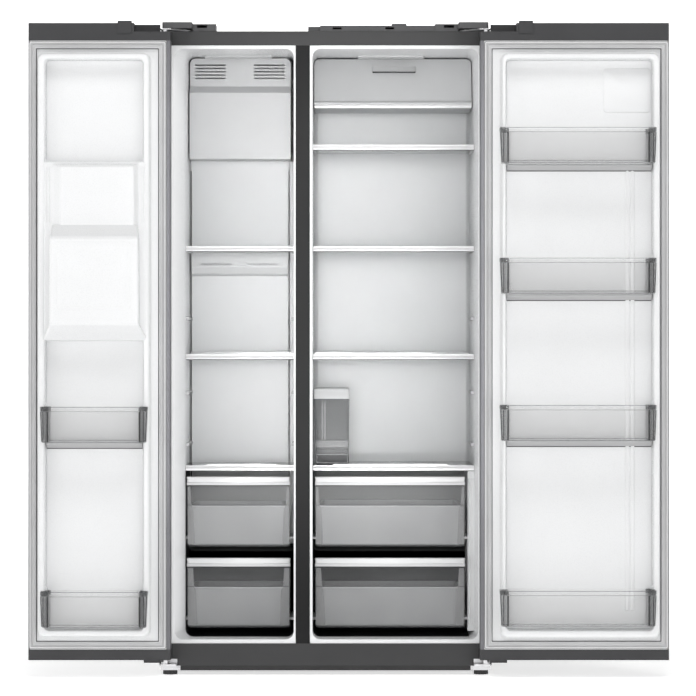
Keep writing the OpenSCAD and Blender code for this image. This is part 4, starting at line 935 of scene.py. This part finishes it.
def drawer_cover(node, raised):
    """Glass lid over the drawers, with a front trim that is higher between two notches."""
    low, high = in_cabinet(node)
    x0, y0, _ = low
    x1, y1, top = high
    glass_plate(f"{node}_glass", "cabinet", x0 + 1, x1 - 1, y0 + 6.1, y1, top - 8.2, top - 4.2, [node])
    trim = Shape(cabinet)
    r0, r1 = raised
    points = [(x0, top - 18), (x1, top - 18), (x1, top - 4), (r1, top - 4), (r1 - 6, top), (r0 + 6, top),
              (r0, top - 4), (x0, top - 4)]
    trim.prism(soften(points, [2, 2, 1.6, 1.5, 1.5, 1.5, 1.5, 1.6], 4), "y", y0, y0 + 6)
    points = [(y0 + 5.5, top - 18), (y0 + 16, top - 15), (y0 + 16, top - 8.3), (y0 + 5.5, top - 8.3)]
    trim.prism(points, "x", x0, x1)
    for x in (x0 + 0.5, x1 - 9):
        trim.prism(round_rect(x, x + 8.5, y0 + 22, y1, 1, 3), "z", top - 20, top - 8.3)
    trim_lines(trim, x0 + 1, x1 - 1, y0, (top - 12.5, top - 6.0), (top - 19.4, top - 17.0))
    trim.piece(f"{node}_trim", "cabinet", "white_liner", TRIM_LOOK, bevel=0.9, angle=30)


drawer_cover("freezer_drawer_cover", (-333, -137))
drawer_cover("fridge_drawer_cover", (17, 340))


# ---------- water tank

def water_tank():
    """Smoky tank with a darker foot, a level line and a white lid with a fill opening."""
    low, high = in_cabinet("water_tank")
    body = "water_tank_body"
    x0, y0, z0 = low[0] + 1, low[1] + 3, low[2]
    x1, y1, top = high[0] - 1, high[1] - 3, high[2]
    neck = top - 30
    r = 7.0

    def level(g, z):
        rise = (z - z0) / (neck - z0)
        a, b = x0 + 7 - 7 * rise + g, x1 - 2 + 2 * rise - g
        return level_at(round_rect(a, b, y0 + g, y1 - g, r, 4), z)

    def levels(base, *steps):
        return [level(g, base + h) for g, h in steps]

    shell = Shape(cabinet)
    shell.loft(levels(z0, (4, 0), (1.2, 0.8), (0, 4), (0, 44), (0.6, 45), (0.6, 46.5), (0, 47.5))
               + levels(neck, (0, -6), (-0.5, -5), (-0.5, 0), (2.6, 0), (3, -2))
               + levels(z0, (3, 8), (6, 3.4)))
    shell.piece("water_tank_body_shell", body, "smoky_tank", tank_smoke, angle=30, replaces=["water_tank"])
    foot = Shape(cabinet)
    foot.loft(levels(z0, (4.5, 0.3), (0.8, 1.5), (-0.6, 4), (-0.6, 27), (0.4, 28), (1.6, 28), (1.8, 6),
                     (6, 4)))
    foot.piece("water_tank_foot", body, "smoky_tank", tank_foot, angle=30)

    lid = Shape(cabinet)
    rings = [level_at(round_rect(low[0] + g, high[0] - g, low[1] + g, high[1] - g, r, 4), z)
             for g, z in ((2.5, neck + 4), (2.2, neck + 0.3), (0.4, neck + 0.2), (0, neck + 2), (0, top - 20),
                          (0.5, top - 19), (0.5, top - 8), (1.8, top - 2.6), (5, top - 0.4), (10, top))]
    lid.loft(rings + [level_at(round_rect(x0 + 24 + g, x1 - 22 - g, y1 - 78 + g, y1 - 28 - g, 8, 4), z)
                      for g, z in ((0, top), (1.5, top - 1), (2, top - 7))])
    lid.piece("water_tank_lid", body, "white_liner", lid_grey, angle=30)

    band = Shape(cabinet)
    band.loft(levels(z0, (0.4, 49), (-0.8, 50), (-0.8, 67), (0.4, 68)), caps=False)
    # painted highlight: the two pale strips down the front stand in for the tank's vertical highlight
    for a in (x0 + 22, x0 + 29):
        band.prism(round_rect(a, a + 4.5, y0 - 0.9, y0 + 0.8, 0.7, 3), "z", z0 + 70, neck - 8)
    outline = [(x0 + 9, z0 + 6), (x1 - 5, z0 + 6), (x1 - 4, z0 + 31), (x0 + 8, z0 + 31)]
    inside = [(x0 + 11, z0 + 8), (x1 - 7, z0 + 8), (x1 - 6, z0 + 29), (x0 + 10, z0 + 29)]
    band.hoop(outline, inside, y0 + 0.5, y0 - 0.9)
    band.piece("water_tank_band", body, "smoky_tank", tank_band_and_highlight, angle=30)


water_tank()


# ---------- trims and beads on the covers, with a painted highlight and painted shade at the duct

def duct_trims():
    """White bead along the foot of the fridge's air distributor, white as a painted highlight on its lip, and
    a black strip painted into its slot as shade.
    """
    low, high = in_cabinet("fridge_duct_cover")
    y, z = low[1], 1569.0
    bead = Shape(cabinet)
    points = [(y - 2.2, z), (y + 6, z - 1), (y + 6, z + 14), (y - 2.2, z + 11)]
    bead.prism(soften(points, [3, 1, 1, 4], 5), "x", low[0] + 1.5, high[0] - 1.5)
    bead.piece("duct_foot_bead", "cabinet", "light_grey_plastic", white_trim, angle=30)
    gap = Shape(cabinet)
    # painted shade: black strip in the slot under its hood
    gap.prism(round_rect(y + 39, y + 43.5, 1671.5, 1675.4, 1, 3), "x", 131, 252)
    gap.piece("duct_slot_painted_shade", "cabinet", "black_plastic", black, bevel=0.4, angle=40, segments=2)


def wall_beads():
    """Slim beads that close the gaps between the freezer's rear panel and the liner."""
    low, high = in_cabinet("freezer_back_cover")
    left, right = FREEZER_WALLS[0] + 0.4, FREEZER_WALLS[1] - 0.4
    beads = Shape(cabinet)
    y = high[1] - 7
    for a, b in ((left, low[0] - 0.6), (high[0] + 0.6, right)):
        beads.prism(round_rect(a, b, y, y + 4, 1.2, 3), "z", 340, 1426)
    beads.piece("freezer_wall_beads", "cabinet", "light_grey_plastic", panel_grey, angle=30)


duct_trims()
wall_beads()


# ---------- painted shadow gap round the freezer's fan cover

def painted_cover_shadow():
    """Black frame painted in as the shadow gap round the freezer's fan cover."""
    low, high = in_cabinet("freezer_top_cover")
    seal = Shape(cabinet)
    outer = round_rect(low[0] - 3.6, high[0] + 3.6, low[2] + 4, high[2] + 1.6, 18, 6)
    inner = round_rect(low[0] + 1.2, high[0] - 1.2, low[2] + 10, high[2] - 1.6, 15, 6)
    seal.hoop(outer, inner, low[1] + 36, low[1] + 44)
    seal.piece("freezer_cover_painted_shadow", "cabinet", "black_plastic", black, bevel=0.8, angle=40, segments=2)


painted_cover_shadow()


# ---------- stage

def floor_material():
    """Pale floor that glows softly, more towards the rim of the studio."""
    n = new_nodes("pale_floor")
    cloud = n.noise(9.0, 4.0)
    n.paint(cloud, (0.25, (0.92, 0.92, 0.92)), (0.75, (0.94, 0.94, 0.94)))
    distance = n.new("ShaderNodeVectorMath", operation="LENGTH")
    n.link(n.coords.outputs["Object"], distance.inputs[0])
    glow = n.new("ShaderNodeMapRange", interpolation_type="SMOOTHSTEP")
    for key, value in (("From Min", 2.2), ("From Max", 7.0), ("To Min", 0.64), ("To Max", 1.0)):
        glow.inputs[key].default_value = value
    n.link(distance.outputs["Value"], glow.inputs["Value"])
    n.link(glow.outputs["Result"], n.shader.inputs["Emission Strength"])
    n.set(Roughness=0.6, Emission_Color=(1, 1, 1, 1))
    return n.material


def stage():
    """Round pale floor that curves up into a low wall, soft boxes and the camera."""
    flat, rise, height, count = 17.0, 1.5, 5.0, 96
    profile = [(r, 0.0) for r in (1.5, 4.0, 9.0, flat)]
    profile += [(flat + rise * math.sin(math.radians(a)), rise - rise * math.cos(math.radians(a)))
                for a in range(9, 91, 9)]
    profile.append((flat + rise, height))
    mesh = bmesh.new()
    turns = [2 * math.pi * k / count for k in range(count)]
    rows = [[mesh.verts.new((r * math.cos(a), r * math.sin(a), z)) for a in turns] for r, z in profile]
    mesh.faces.new(rows[0])
    for row, following in zip(rows, rows[1:]):
        for k in range(count):
            m = (k + 1) % count
            mesh.faces.new((row[k], following[k], following[m], row[m])).smooth = True
    data = bpy.data.meshes.new("floor")
    mesh.to_mesh(data)
    mesh.free()
    floor = add_object("floor", data)
    data.materials.append(floor_material())

    def soft_box(name, place, target, size, power, spread=180):
        light = bpy.data.lights.new(name, "AREA")
        light.shape = "RECTANGLE"
        light.size, light.size_y = size
        light.energy = power
        light.spread = math.radians(spread)
        obj = add_object(name, light)
        obj.location = place
        obj.rotation_euler = (Vector(target) - Vector(place)).to_track_quat("-Z", "Y").to_euler()
        obj.visible_camera = False

    soft_box("key_above", (0.7, -4.3, 8.2), (0.1, 0.1, 0.9), (5.5, 2.6), 355)
    inside = cabinet(12, 0, 1050)
    soft_box("inside_fill", inside - Vector((0, 2.2, 0)), inside, (0.70, 1.25), 1.10, 16)
    soft_box("side_fill", (4.5, -3.2, 1.8), (0.2, 0, 0.9), (2.5, 2.5), 16)
    soft_box("side_fill_left", (-4.5, -3.2, 1.8), (-0.2, 0, 0.9), (2.5, 2.5), 27)
    soft_box("back_fill", (-3.0, 2.6, 3.4), (0, 0.2, 1.0), (2.5, 2.0), 30)
    world = bpy.data.worlds.new("studio")
    world.use_nodes = True
    background = world.node_tree.nodes["Background"]
    background.inputs["Color"].default_value = (1, 1, 1, 1)
    background.inputs["Strength"].default_value = 0.02
    bpy.context.scene.world = world

    camera = bpy.data.cameras.new("camera")
    camera.sensor_width = 36.0
    distance = 10.0
    photo_width = 1.907  # width of the view at the cabinet's front
    camera.lens = camera.sensor_width * distance / photo_width
    obj = add_object("camera", camera)
    obj.location = cabinet(61.65, -distance / MM, 896)
    obj.rotation_euler = (math.radians(90), 0, 0)
    bpy.context.scene.camera = obj
    bpy.context.scene.view_settings.view_transform = "Standard"


stage()

# CAD nodes that stay: material, width of the rounded edges, nodes
NODE_FINISH = [
    (paint_dark, 0.5, ["cabinet_wrap", "base_pan"]),
    (sheet_metal, 0.3, ["back_panel", "machine_cover"]),
    (paint_dark, 0.6, ["front_frame"]),
    (paint_rail, 0.4, ["centre_rail"]),
    (black, 0.5, ["plinth"]),
    (foam, 1.0, ["cabinet_foam", "freezer_door_foam", "fridge_door_foam"]),
    (compressor_black, 1.5, ["compressor"]),
    (condenser_black, 0.3, ["condenser"]),
    (dark_plastic, 1.0, ["drain_pan", "control_box", "hinge_covers"]),
    (fin_metal, 0.2, ["evaporator"]),
    (cover_grey, 1.2, ["freezer_top_cover"]),
    (back_grey_painted_shade, 0.8, ["freezer_back_cover"]),
    (duct_grey, 1.0, ["fridge_duct_cover"]),
    (lens, 1.0, ["lamp_lenses"]),
    (support_grey, 0.8, ["shelf_supports"]),
    (panel_grey, 1.0, ["drawer_runners"]),
    (zinc, 0.6, ["top_hinge_brackets", "bottom_hinge_brackets"]),
    (black, 0.8, ["front_foot_left", "front_foot_right", "dispenser_paddle"]),
    (rubber, 1.0, ["rear_roller_left", "rear_roller_right"]),
    (fan_grey, 0.3, ["condenser_fan", "evaporator_fan"]),
    (door_steel, 0.3, ["freezer_door_skin", "fridge_door_skin"]),
    (cap_plastic, 0.8, ["freezer_door_caps", "fridge_door_caps"]),
    (dark_plastic, 0.8, ["dispenser_housing"]),
]
for finish, edge_width, nodes in NODE_FINISH:
    for node_name in nodes:
        finish_node(node_name, finish, edge_width)
